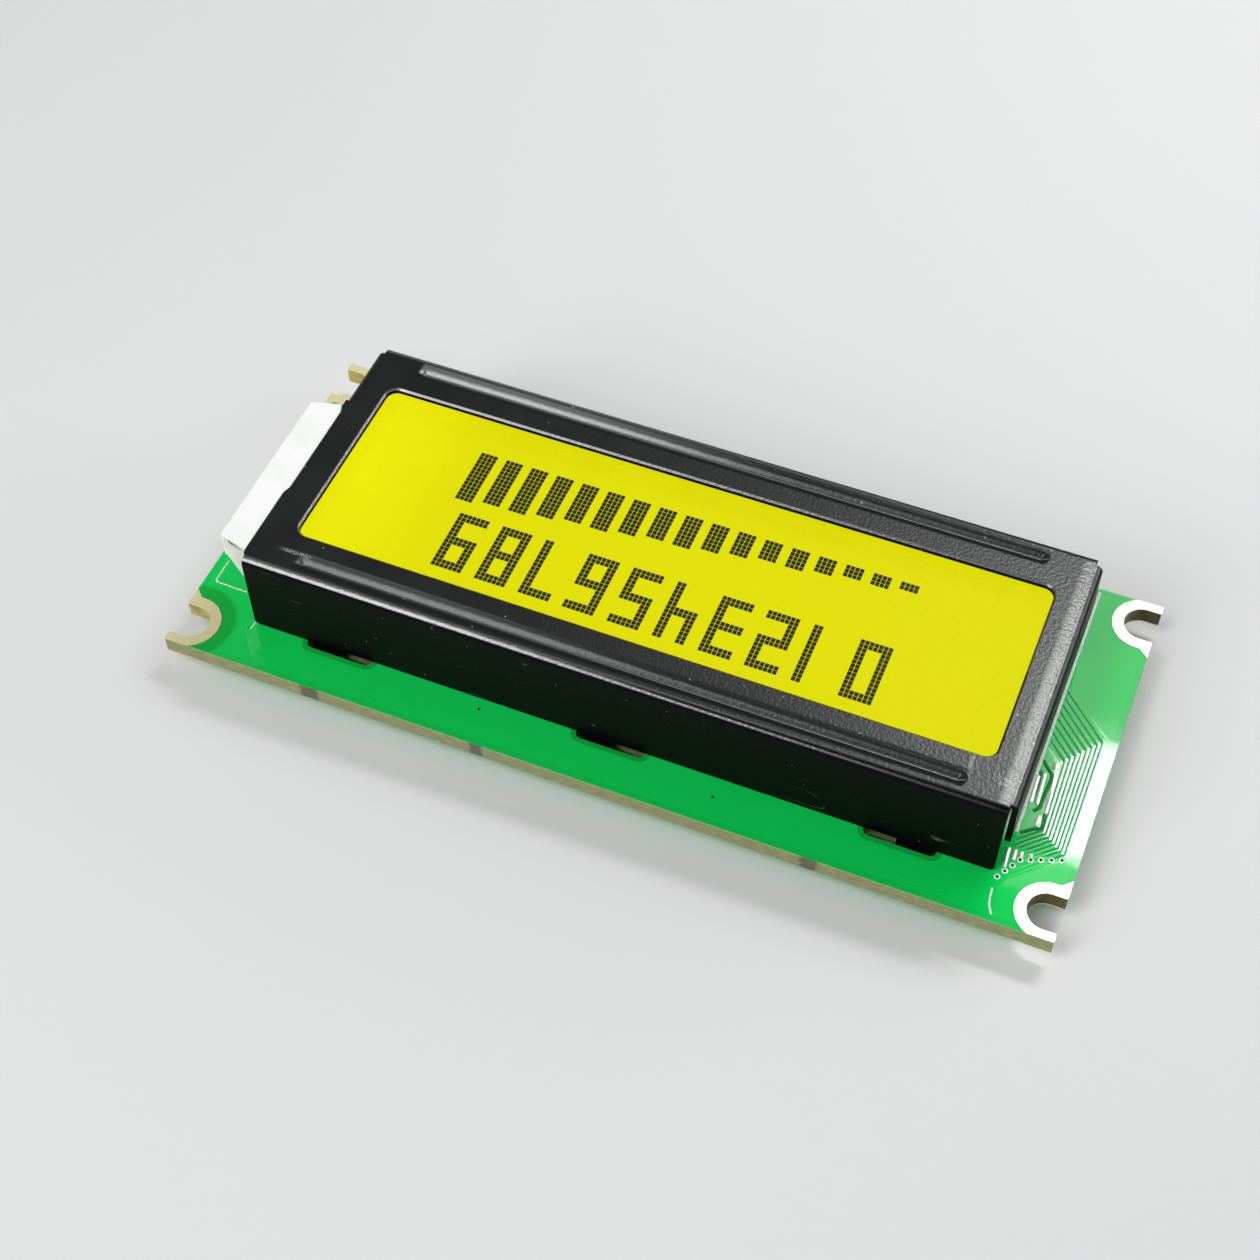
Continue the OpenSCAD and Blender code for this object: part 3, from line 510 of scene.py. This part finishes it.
# Printed marks
# White ink screened on the mask: a corner mark and a dash by the lamp holder, an arc by a notch, and a
# wide line along the foot of the left flap.
ink_h = 0.02 * mm
ink_level = board_high.z + 0.4 * ink_h
mark_w = 0.15 * mm
mark_corner = 0.3 * mm
marks = [
    [(39.0, 8.2), (39.0, 10.7), (35.8, 10.76)],
    [(33.46, 14.3), (33.43, 13.45)],
    [(-34.12, 15.0), (-34.16, 15.8), (-34.3, 16.6), (-34.7, 17.4)],
]
flap_line_w = 0.3 * mm
flap_line = [[(-34.33, -17.6), (-34.4, 9.2)]]
ink = clouded(
    "white_ink", 0.18 * mm, (238, 241, 238), (150, 206, 168), (0.5, 0.65),
    blend=(0.52, 0.72), skin=(0.18 * mm, 0.006 * mm), detail=4.0, Specular_IOR_Level=0.3,
)
ribbons("printed_marks", marks, mark_w, ink_h, mark_corner, ink, ink_level)
ribbons("flap_line", flap_line, flap_line_w, ink_h, 0.0, ink, ink_level)

# Plated notch lands
# Copper rings round the open notches, nickel and pale gold plated right down the notch walls. The plating
# The plating is painted whiter at the left end as glare, and the notch walls are painted darker as shade, most at the
# left end, with tarnish mottled in.
finish, tree, shader, here, axes = new_finish("pale_gold", Metallic=0.28)
cloud = grain(tree, here, 0.5 * mm)
tarnish = grain(tree, here, 1.7 * mm, 5.0)
to_left = rise(tree, axes["X"], -26.0 * mm, -34.0 * mm)
gold = mix(tree, rise(tree, cloud, 0.3, 0.7), shade(250, 245, 198), shade(244, 236, 180))
gold = mix(tree, rise(tree, tarnish, 0.55, 0.75, 0.0, 0.2), gold, shade(214, 194, 122))
right_gold = mix(tree, 0.25, gold, shade(222, 206, 132))
# painted glare whitening the plating at the left end
left_glare_gold = mix(tree, 0.6, gold, shade(253, 251, 238))
gold = mix(tree, to_left, right_gold, left_glare_gold)
# painted shade down the notch walls, deepest at the left end
shaded_wall_gold = mix(tree, to_left, shade(196, 182, 104), shade(70, 62, 20))
shaded_wall_gold = mix(tree, rise(tree, tarnish, 0.4, 0.6, 0.0, 0.5), shaded_wall_gold, shade(120, 106, 44))
in_notch = board_wall(tree, axes["Z"], 0.02 * mm, 0.1 * mm)
feed(tree, shader, {
    "Base Color": mix(tree, in_notch, gold, shaded_wall_gold),
    "Roughness": rise(tree, cloud, 0.25, 0.75, 0.2, 0.3),
})
relief(tree, shader, grain(tree, here, 0.08 * mm), 0.002 * mm)
dress(finish, "notch_lands", "header_pads")

# Backlight: tray, reflector, light guide and diffuser
# A white moulded tray holds a clear acrylic guide between a white reflector and a milky diffuser film.
finish = clouded(
    "white_moulding", 1.2 * mm, (240, 241, 236), (228, 230, 222), (0.42, 0.55),
    blend=(0.3, 0.7), skin=(0.1 * mm, 0.006 * mm), Specular_IOR_Level=0.4,
)
dress(finish, "backlight_tray", "lamp_holder")

finish, tree, shader, here, axes = new_finish("white_film", Specular_IOR_Level=0.35)
cloud = grain(tree, here, 4.0 * mm)
feed(tree, shader, {
    "Base Color": mix(tree, rise(tree, cloud, 0.3, 0.7), shade(250, 250, 249), shade(243, 244, 241)),
    "Roughness": rise(tree, cloud, 0.3, 0.7, 0.35, 0.48),
})
relief(tree, shader, grain(tree, here, 2.2 * mm, 2.0), 0.03 * mm)
dress(finish, "reflector_film", "holder_film")

finish, tree, shader, here, axes = new_finish("milky_film", Roughness=0.5)
cloud = grain(tree, here, 0.3 * mm)
feed(tree, shader, {"Base Color": mix(tree, cloud, shade(250, 250, 232), shade(242, 244, 215))})
dress(finish, "diffuser_film")

finish = clouded(
    "clear_acrylic", 0.8 * mm, (236, 244, 196), (222, 236, 170), (0.08, 0.2), Specular_IOR_Level=0.6, Alpha=0.55
)
dress(finish, "light_guide")

# Lamp holder fittings: lamp board, lamps, legs and solder
# Six yellow-green lamps under a strip of olive board, fed by two tinned legs soldered to the main board.
finish = clouded(
    "olive_laminate", 0.12 * mm, (126, 120, 58), (92, 90, 40), (0.45, 0.65), blend=(0.3, 0.7),
    skin=(0.12 * mm, 0.01 * mm), detail=4.0, stretch=(0.15, 0.15, 1.0), Specular_IOR_Level=0.4,
)
dress(finish, "lamp_board")

finish, tree, shader, here, axes = new_finish("lamp_resin", Specular_IOR_Level=0.6, Emission_Strength=0.4)
cloud = grain(tree, here, 0.4 * mm)
glow = mix(tree, cloud, shade(206, 226, 60), shade(232, 240, 120))
feed(tree, shader, {
    "Base Color": glow,
    "Emission Color": glow,
    "Roughness": rise(tree, cloud, 0.3, 0.7, 0.2, 0.35),
})
dress(finish, "lamps")

finish = clouded(
    "tinned_metal", 0.3 * mm, (206, 208, 212), (180, 183, 188), (0.22, 0.42),
    skin=(0.12 * mm, 0.008 * mm), Metallic=1.0,
)
dress(finish, "lamp_legs", "leg_solder", "chip_ends")

# Elastic contact strips
# Silicone rubber sliced from a stack of black conducting and pale insulating sheets, pressed between
# the glass ledges and the board.
layer_pitch = 0.2 * mm
finish, tree, shader, here, axes = new_finish("layered_rubber", Specular_IOR_Level=0.25)
layers = waves(tree, axes["X"], layer_pitch)
feed(tree, shader, {
    "Base Color": mix(tree, rise(tree, layers, -0.3, 0.3), shade(34, 35, 38), shade(96, 98, 104)),
    "Roughness": rise(tree, grain(tree, here, 0.5 * mm), 0.3, 0.7, 0.6, 0.8),
})
relief(tree, shader, layers, 0.004 * mm)
dress(finish, "zebra_strip_upper", "zebra_strip_lower")

# Glass cell
# Two thin glass plates glued round their rim, with a yellow-green lit film behind them and a clear
# polarizer on the front. The lit colour is shown on the rear plate, right behind the liquid crystal.
finish, tree, shader, here, axes = new_finish("lit_yellow", Specular_IOR_Level=0.0, Emission_Strength=1.0)
by_lamps = rise(tree, axes["X"], bezel_high.x - 15.0 * mm, bezel_high.x - 3.0 * mm)
cloud = grain(tree, here, 6.0 * mm)
glow = mix(tree, by_lamps, shade(223, 220, 4), shade(237, 233, 8))
glow = mix(tree, rise(tree, cloud, 0.3, 0.7, 0.0, 0.1), glow, shade(206, 206, 3))
feed(tree, shader, {
    "Base Color": mix(tree, by_lamps, shade(70, 70, 2), shade(78, 77, 3)),
    "Emission Color": glow,
    "Roughness": rise(tree, cloud, 0.3, 0.7, 0.5, 0.6),
})
dress(finish, "rear_polarizer", "rear_glass", "cell_seal")

finish = clouded(
    "port_resin", 0.4 * mm, (222, 214, 170), (200, 190, 140), (0.25, 0.4), Specular_IOR_Level=0.4
)
dress(finish, "port_plug")

finish, tree, shader, here, axes = new_finish("clear_glass", Roughness=0.05, Alpha=0.01)
cloud = grain(tree, here, 5.0 * mm)
feed(tree, shader, {"Base Color": mix(tree, cloud, shade(150, 170, 90), shade(140, 160, 80))})
dress(finish, "front_glass")

finish = clouded(
    "clear_polarizer", 0.2 * mm, (150, 150, 20), (140, 142, 16), (0.32, 0.45),
    skin=(0.2 * mm, 0.003 * mm), Specular_IOR_Level=0.5, Alpha=0.02,
)
dress(finish, "front_polarizer")

# Display dots
# The dark picture elements in the liquid crystal, squares with hair-thin gaps on a grid of 128 by 32.
# They show the ten digits and a rising bar graph, as a module does in its first test.
dot_columns = 128
dot_rows = 32
dot_pitch_x = 0.409 * mm
dot_pitch_y = 0.445 * mm
dot_gap = 0.05 * mm
dot_h = 0.03 * mm
dot_corner = 0.03 * mm
dot_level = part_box("rear_glass")[1].z + 0.005 * mm
digit_w = 7
digit_h = 14
digit_step = 10
stroke = 2
bar_count = 17
bar_w = 4
bar_step = 6
lowest_bar = 2
highest_bar = 13
margin_columns = (dot_columns - 9 * digit_step - digit_w) // 2
digit_foot = dot_rows - 1 - digit_h
middle_row = digit_h // 2
segments_of = ("abcdef", "bc", "abged", "abgcd", "fgbc", "afgcd", "afgedc", "abc", "abcdefg", "abcdfg")
segment_boxes = {
    "a": (0, digit_w, digit_h - stroke, digit_h),
    "b": (digit_w - stroke, digit_w, middle_row, digit_h),
    "c": (digit_w - stroke, digit_w, 0, middle_row),
    "d": (0, digit_w, 0, stroke),
    "e": (0, stroke, 0, middle_row),
    "f": (0, stroke, middle_row, digit_h),
    "g": (0, digit_w, middle_row - 1, middle_row - 1 + stroke),
}
lit = set()
for digit, segments in enumerate(segments_of):
    left = margin_columns + digit * digit_step
    for segment in segments:
        x0, x1, y0, y1 = segment_boxes[segment]
        lit |= {(left + c, digit_foot + r) for c in range(x0, x1) for r in range(y0, y1)}
for bar in range(bar_count):
    left = margin_columns + bar * bar_step
    top = lowest_bar + round(bar * (highest_bar - lowest_bar) / (bar_count - 1))
    lit |= {(left + c, 1 + r) for c in range(bar_w) for r in range(top)}

dot_inputs = {"Dot length": "Float", "Dot width": "Float", "Dot height": "Float", "Corner": "Float"}
dot_field, given, result = geometry_tree("dot_field", {**dot_inputs, "Finish": "Material"})
rectangle = {"Width": given["Dot length"], "Height": given["Dot width"]}
outline = grow(dot_field, "CurvePrimitiveQuadrilateral", rectangle, mode="RECTANGLE")
rounding = {"Curve": outline, "Radius": given["Corner"], "Limit Radius": True, "Count": 2}
outline = grow(dot_field, "FilletCurve", rounding, mode="POLY")
face = grow(dot_field, "FillCurve", {"Curve": outline}, mode="NGONS")
thickness = {"Mesh": face, "Offset Scale": given["Dot height"], "Individual": False}
dot = grow(dot_field, "ExtrudeMesh", thickness)
dots = grow(dot_field, "InstanceOnPoints", {"Points": given["Geometry"], "Instance": dot})
dots = grow(dot_field, "RealizeInstances", {"Geometry": dots})
dots = grow(dot_field, "SetMaterial", {"Geometry": dots, "Material": given["Finish"]})
dot_field.links.new(dots, result)

dot_points = [
    (
        bezel_mid.x + (column - (dot_columns - 1) / 2) * dot_pitch_x,
        bezel_mid.y + (row - (dot_rows - 1) / 2) * dot_pitch_y,
        dot_level,
    )
    for column, row in sorted(lit)
]
dot_sizes = {
    "Dot length": dot_pitch_x - dot_gap,
    "Dot width": dot_pitch_y - dot_gap,
    "Dot height": dot_h,
    "Corner": dot_corner,
    "Finish": clouded("dark_crystal", 1.5 * mm, (12, 14, 8), (26, 28, 10), (0.5, 0.65), Specular_IOR_Level=0.1),
}
grown("display_dots", dot_points, [], dot_field, dot_sizes)

# Bezel
# Sheet steel punched, beaded and folded in a press, then painted satin black. Its lock tabs are pushed
# through the board and twisted. How strongly the paint mirrors is painted zone by zone to place highlights:
# higher on the long bends, the beads, the left end's band and the window's rim, with a painted dark line along
# the folds at the left end and levels that change along the length. Handling has left fine scratches, dust and
# a scrape beside the upper bead.
window_half_l = 30.95 * mm
window_half_w = 9.2 * mm
window_corner = 1.0 * mm
rim_w = 0.16 * mm
fold_r = 0.65 * mm
fold_y = 13.1 * mm
dark_reflection_y = fold_y + 0.27 * mm
bead_y = 12.0 * mm
bead_half_w = 1.1 * mm
bead_half_l = 29.6 * mm
bead_glint_offset = 0.03 * mm
end_roll = 1.1 * mm
flap_x = bezel_high.x - bezel_mid.x
scrape_from = (31.3 * mm, 11.05 * mm)
scrape_to = (27.6 * mm, 11.1 * mm)
scrape_fade = 1.0 * mm
hair_turn = 0.25
paint_metal = 0.75
paint_relief = 0.009 * mm


def mirror(level):
    """The colour of paint that mirrors as a grey of a given level, 0 to 255."""
    return shade(level, level + 1, level)


finish, tree, shader, here, axes = new_finish("black_paint", Specular_IOR_Level=0.05)
cloud = grain(tree, here, 5.0 * mm)
peel = grain(tree, here, 0.3 * mm, 2.0)
fine = grain(tree, here, 0.12 * mm, 4.0)
across = apart(tree, axes["X"], bezel_mid.x)
along = apart(tree, axes["Y"], bezel_mid.y)
lower = calc(tree, "LESS_THAN", axes["Y"], bezel_mid.y)
to_right = rise(tree, axes["X"], -8.0 * mm, 18.0 * mm)
to_left = calc(tree, "SUBTRACT", 1.0, to_right)
# how far a place lies outside the window, with its round corners
past_l = excess(tree, across, window_half_l - window_corner)
past_w = excess(tree, along, window_half_w - window_corner)
from_window = calc(tree, "SUBTRACT", hypotenuse(tree, past_l, past_w), window_corner)
cut_wall = rise(tree, from_window, 0.04 * mm, 0.02 * mm)
rim = rise(tree, from_window, rim_w + 0.06 * mm, rim_w)
rim = product(tree, rim, rise(tree, from_window, 0.02 * mm, 0.04 * mm))
# the face, the beads sunk into it, the long folds, and the left end where the sheet rolls off to its bend
face = rise(tree, axes["Z"], bezel_high.z - 0.3 * mm, bezel_high.z - 0.05 * mm)
off_bead = apart(tree, along, bead_y)
bead_run = rise(tree, across, bead_half_l, bead_half_l - 0.4 * mm)
bead = product(tree, rise(tree, off_bead, bead_half_w, bead_half_w - 0.25 * mm), bead_run)
fold = rise(tree, along, fold_y - 0.1 * mm, fold_y + 0.1 * mm)
fold = product(tree, fold, rise(tree, axes["Z"], bezel_high.z - 0.3 * mm, bezel_high.z - 0.2 * mm))
dark_reflection_line = rise(tree, apart(tree, along, dark_reflection_y), 0.15 * mm, 0.07 * mm)
roll = rise(tree, axes["X"], bezel_low.x + fold_r + end_roll, bezel_low.x + fold_r)
end_band = product(tree, rise(tree, roll, 0.0, 0.4), face)
smooth = largest(tree, face, bead, fold, rim)
# each bead is softer towards the lower side, and has a painted highlight line along its bottom, a lamp's glint
up = calc(tree, "SUBTRACT", axes["Y"], bezel_mid.y)
up_in_bead = calc(tree, "SUBTRACT", calc(tree, "WRAP", up, 2 * bead_y, 0.0), bead_y)
bead = product(tree, bead, rise(tree, up_in_bead, 0.9 * mm, 0.65 * mm))
soft_side = product(tree, rise(tree, up_in_bead, 0.3 * mm, -0.3 * mm), bead_run)
turned_down = rise(tree, up_in_bead, 0.1 * mm, 0.35 * mm)
bead_glint_line = rise(tree, apart(tree, up_in_bead, bead_glint_offset), 0.1 * mm, 0.03 * mm)
bead_glint_line = product(tree, bead_glint_line, bead, to_left)
# dust, hair scratches away from the end flaps, and the scrape, a broken line
specks = effect(tree, dust, {"Place": here, "Spacing": 1.1 * mm, "Share": 0.35})
hair_sizes = {"Turn": hair_turn, "Spacing": 2.4 * mm, "Width": 0.007, "Share": 0.4}
hairs = effect(tree, scratches, {"Place": here, **hair_sizes})
hairs = product(tree, hairs, rise(tree, across, flap_x - 0.15 * mm, flap_x - 0.35 * mm))
lean = (scrape_to[1] - scrape_from[1]) / (scrape_to[0] - scrape_from[0])
line_y = calc(tree, "MULTIPLY_ADD", axes["X"], lean, scrape_from[1] - lean * scrape_from[0])
scrape = product(
    tree,
    rise(tree, apart(tree, axes["Y"], line_y), 0.28 * mm, 0.08 * mm),
    rise(tree, fine, 0.43, 0.55),
    rise(tree, axes["X"], scrape_to[0], scrape_to[0] + scrape_fade),
    rise(tree, axes["X"], scrape_from[0], scrape_from[0] - scrape_fade),
    face,
)
# dust, the scrape and the hair scratches, with the painted glint line along the beads
wear_and_glint = largest(
    tree,
    product(tree, specks, 0.7),
    product(tree, scrape, 0.8),
    product(tree, bead_glint_line, 0.5),
    product(tree, hairs, calc(tree, "MULTIPLY_ADD", face, -0.28, 0.38)),
)
# the shiny paint is given as a dark metal, whose colour says how much it mirrors;
# the levels below are set zone by zone as painted highlights and a painted dark reflection
shine = mix(tree, rise(tree, cloud, 0.3, 0.7), mirror(54), mirror(62))
# painted glare: the face mirrors more towards the left end
shine = mix(tree, to_right, mirror(68), shine)
# painted highlights on the beads: the lower bead mirrors more, both go dull towards the left end, and their outer
# slopes are painted dull as shade
bead_shine = mix(tree, lower, mirror(88), mirror(128))
bead_shine = mix(tree, to_right, mirror(57), bead_shine)
shine = mix(tree, bead, shine, mix(tree, turned_down, bead_shine, mirror(42)))
# painted highlight on the band before the left end's roll
shine = mix(tree, end_band, shine, mirror(86))
# painted highlight on the window's rim: stronger on the lower side, strongest at the right end
rim_shine = mix(tree, lower, mirror(56), mirror(104))
rim_shine = mix(tree, rise(tree, axes["X"], 28.0 * mm, 30.0 * mm), rim_shine, mirror(126))
shine = mix(tree, rim, shine, rim_shine)
# painted highlight along the long folds, weaker towards the left end, kept to the top of the roll by the fold mask
fold_shine = mix(tree, rise(tree, axes["X"], bezel_low.x, -8.0 * mm), mirror(58), mirror(118))
shine = mix(tree, fold, shine, fold_shine)
# a painted dark reflection along the top of the long folds at the left end
shine = mix(tree, product(tree, dark_reflection_line, to_left), shine, mirror(20))
paint = mix(tree, smooth, mirror(7), shine)
paint = mix(tree, cut_wall, paint, shade(10, 10, 10))
metal = calc(tree, "MULTIPLY_ADD", wear_and_glint, -paint_metal, paint_metal)
bead_rough = product(tree, bead, calc(tree, "MULTIPLY_ADD", to_right, 0.12, 0.3))
feed(tree, shader, {
    "Base Color": mix(tree, wear_and_glint, paint, shade(172, 174, 172)),
    "Metallic": product(tree, metal, calc(tree, "SUBTRACT", smooth, cut_wall)),
    "Roughness": largest(tree, calc(tree, "MULTIPLY_ADD", smooth, -0.13, 0.42), bead_rough, cut_wall),
})
# the paint's orange peel, the scratches, the soft shoulders of the beads and the roll
shoulder = product(tree, soft_side, calc(tree, "MULTIPLY_ADD", to_right, 6.0, 3.0))
height = calc(tree, "MULTIPLY_ADD", peel, 3.2, product(tree, hairs, -0.6))
height = calc(tree, "MULTIPLY_ADD", rise(tree, off_bead, 0.75 * mm, bead_half_w), shoulder, height)
height = calc(tree, "MULTIPLY_ADD", roll, -14.0, height)
relief(tree, shader, height, paint_relief)
dress(finish, "bezel")

# Epoxy caps
# Domes of black resin poured over the two bare chips on the underside, set with a slightly uneven skin.
finish = clouded(
    "poured_resin", 2.0 * mm, (20, 20, 22), (30, 30, 32), (0.28, 0.45),
    skin=(2.0 * mm, 0.06 * mm), Specular_IOR_Level=0.5,
)
dress(finish, "controller_cap", "driver_cap")

# Underside tracks
# Masked tracks from the pin holes and from the edges of the two bonded chips, each to a covered via,
# and a printed ring that kept the resin of each cap from spreading.
under_w = 0.25 * mm
under_corner = 0.3 * mm
under_level = board_low.z - 0.4 * track_h
fan_count = 28
fan_inner_r = 6.2
fan_outer_r = 8.3
fan_step = 0.7
dam_r = 7.0
dam_w = 0.3 * mm
dam_steps = 64
dam_level = board_low.z - 0.4 * ink_h
pin_count = 20
pin_pitch = 2.54
pin_y = -16.1
pin_bend_y = -15.2
pin_via_y = -12.4
pin_room = 0.76
pin_shift = 3.4
pin_slope = 0.5
cap_low, cap_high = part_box("controller_cap")
cap_x = (cap_low.x + cap_high.x) / 2 / mm
under_paths = []
under_vias = []
dams = []


def on_circle(middle, radius, turn):
    """A point on a circle, at a share of a full turn."""
    angle = 2 * math.pi * turn
    return middle + Vector((math.cos(angle), math.sin(angle))) * radius


for side in (-1, 1):
    middle = Vector((side * cap_x, 0))
    for i in range(fan_count):
        turn = (i + 0.5) / fan_count
        tip = on_circle(middle, fan_outer_r + fan_step * (i % 2), turn)
        under_paths.append([on_circle(middle, fan_inner_r, turn), tip])
        under_vias.append(tip)
    dams.append([on_circle(middle, dam_r, i / dam_steps) for i in range(dam_steps + 1)])
for i in range(pin_count):
    x = (i - (pin_count - 1) / 2) * pin_pitch
    via_x = x * pin_room + math.copysign(pin_shift, x)
    slant_end = (via_x, pin_bend_y + abs(via_x - x) * pin_slope)
    under_paths.append([(x, pin_y), (x, pin_bend_y), slant_end, (via_x, pin_via_y)])
    under_vias.append((via_x, pin_via_y))
ribbons("underside_tracks", under_paths, under_w, track_h, under_corner, copper_and_lip_highlight_finish, under_level)
vias_at("underside_vias", under_vias, copper_and_lip_highlight_finish, under_level)
ribbons("resin_dams", dams, dam_w, ink_h, 0.0, ink, dam_level)

# Chip parts
# Glazed black resistors and tan ceramic capacitors in two rows on the underside, with tinned ends.
finish = clouded("black_glaze", 0.3 * mm, (24, 24, 26), (38, 38, 40), (0.2, 0.4), Specular_IOR_Level=0.5)
dress(finish, "chip_resistors")
finish = clouded("tan_ceramic", 0.2 * mm, (176, 146, 108), (156, 124, 86), (0.5, 0.7), Specular_IOR_Level=0.4)
dress(finish, "chip_capacitors")

# Studio
# A plain pale floor, an even pale room, a tall softbox in front, a small bright one and a wide dim one
# behind the left end, and one low at the side.
floor_half = 1.2
floor_corners = ((-1, -1), (1, -1), (1, 1), (-1, 1))
far_from = 0.15
far_to = 0.6
far_glow = 0.6
room_glow = 0.24
horizon_glow = 0.4


def seen(tree):
    """1 for rays that show a surface to the eye, straight or in a mirror, and 0 for rays of light."""
    ray = put(tree, "LightPath").outputs
    return largest(tree, ray["Is Camera Ray"], ray["Is Glossy Ray"], ray["Is Transmission Ray"])


floor_mesh = bpy.data.meshes.new("floor")
floor_mesh.from_pydata([(x * floor_half, y * floor_half, 0) for x, y in floor_corners], [], [(0, 1, 2, 3)])
floor = bpy.data.objects.new("floor", floor_mesh)
bpy.context.scene.collection.objects.link(floor)
finish, tree, shader, here, axes = new_finish("pale_floor", Specular_IOR_Level=0.2, Roughness=0.7)
from_part = put(tree, "VectorMath", {0: here}, operation="LENGTH").outputs["Value"]
far = rise(tree, from_part, far_from, far_to)
feed(tree, shader, {
    "Base Color": mix(tree, grain(tree, here, 0.4), shade(226, 226, 226), shade(220, 220, 220)),
    "Emission Color": shade(226, 226, 226),
    "Emission Strength": product(tree, far, seen(tree), far_glow),
})
floor_mesh.materials.append(finish)

room = bpy.data.worlds.new("room")
room.use_nodes = True
tree = room.node_tree
level = put(tree, "SeparateXYZ", {"Vector": put(tree, "TexCoord").outputs["Generated"]}).outputs["Z"]
near_horizon = product(tree, rise(tree, level, 0.3, 0.05), seen(tree))
feed(tree, tree.nodes["Background"], {
    "Color": (0.95, 0.97, 1.0, 1.0),
    "Strength": calc(tree, "MULTIPLY_ADD", near_horizon, horizon_glow, room_glow),
})
bpy.context.scene.world = room


def softbox(name, place, aim, width, height, watts):
    """A rectangular lamp that faces a point."""
    lamp = bpy.data.lights.new(name, "AREA")
    lamp.shape = "RECTANGLE"
    lamp.size = width
    lamp.size_y = height
    lamp.energy = watts
    stand = bpy.data.objects.new(name, lamp)
    stand.location = place
    stand.rotation_mode = "QUATERNION"
    stand.rotation_quaternion = (Vector(aim) - Vector(place)).to_track_quat("-Z", "Y")
    bpy.context.scene.collection.objects.link(stand)


softbox("softbox_front", (0.19, 0.30, 0.35), (0.0, 0.0, 0.0), 0.20, 0.47, 1.85)
softbox("softbox_behind", (-0.0865, -0.2008, 0.30), (-0.0865, -0.1998, 0.0), 0.121, 0.0378, 0.42)
softbox("softbox_wide", (-0.10, -0.233, 0.31), (-0.10, -0.232, 0.0), 0.26, 0.114, 0.26)
softbox("softbox_side", (-0.40, -0.28, 0.12), (0.0, 0.0, 0.0), 0.30, 0.20, 0.7)

# Camera
# It stands where the photograph was taken, above the upper long side and a little to the left.
camera_place = Vector((-40.98, 105.26, 150.06)) * mm
camera_look = Vector((0.23599, -0.55953, -0.79450))
camera_roll = math.radians(-0.65)
camera_lens = bpy.data.cameras.new("camera")
camera_lens.sensor_width = 36.0
camera_lens.lens = 60.29
camera_lens.clip_start = 0.01
camera = bpy.data.objects.new("camera", camera_lens)
camera.rotation_mode = "QUATERNION"
level_turn = camera_look.to_track_quat("-Z", "Y")
camera.rotation_quaternion = level_turn @ Matrix.Rotation(camera_roll, 3, "Z").to_quaternion()
camera.location = camera_place
bpy.context.scene.collection.objects.link(camera)
bpy.context.scene.camera = camera
bpy.context.scene.view_settings.view_transform = "Standard"
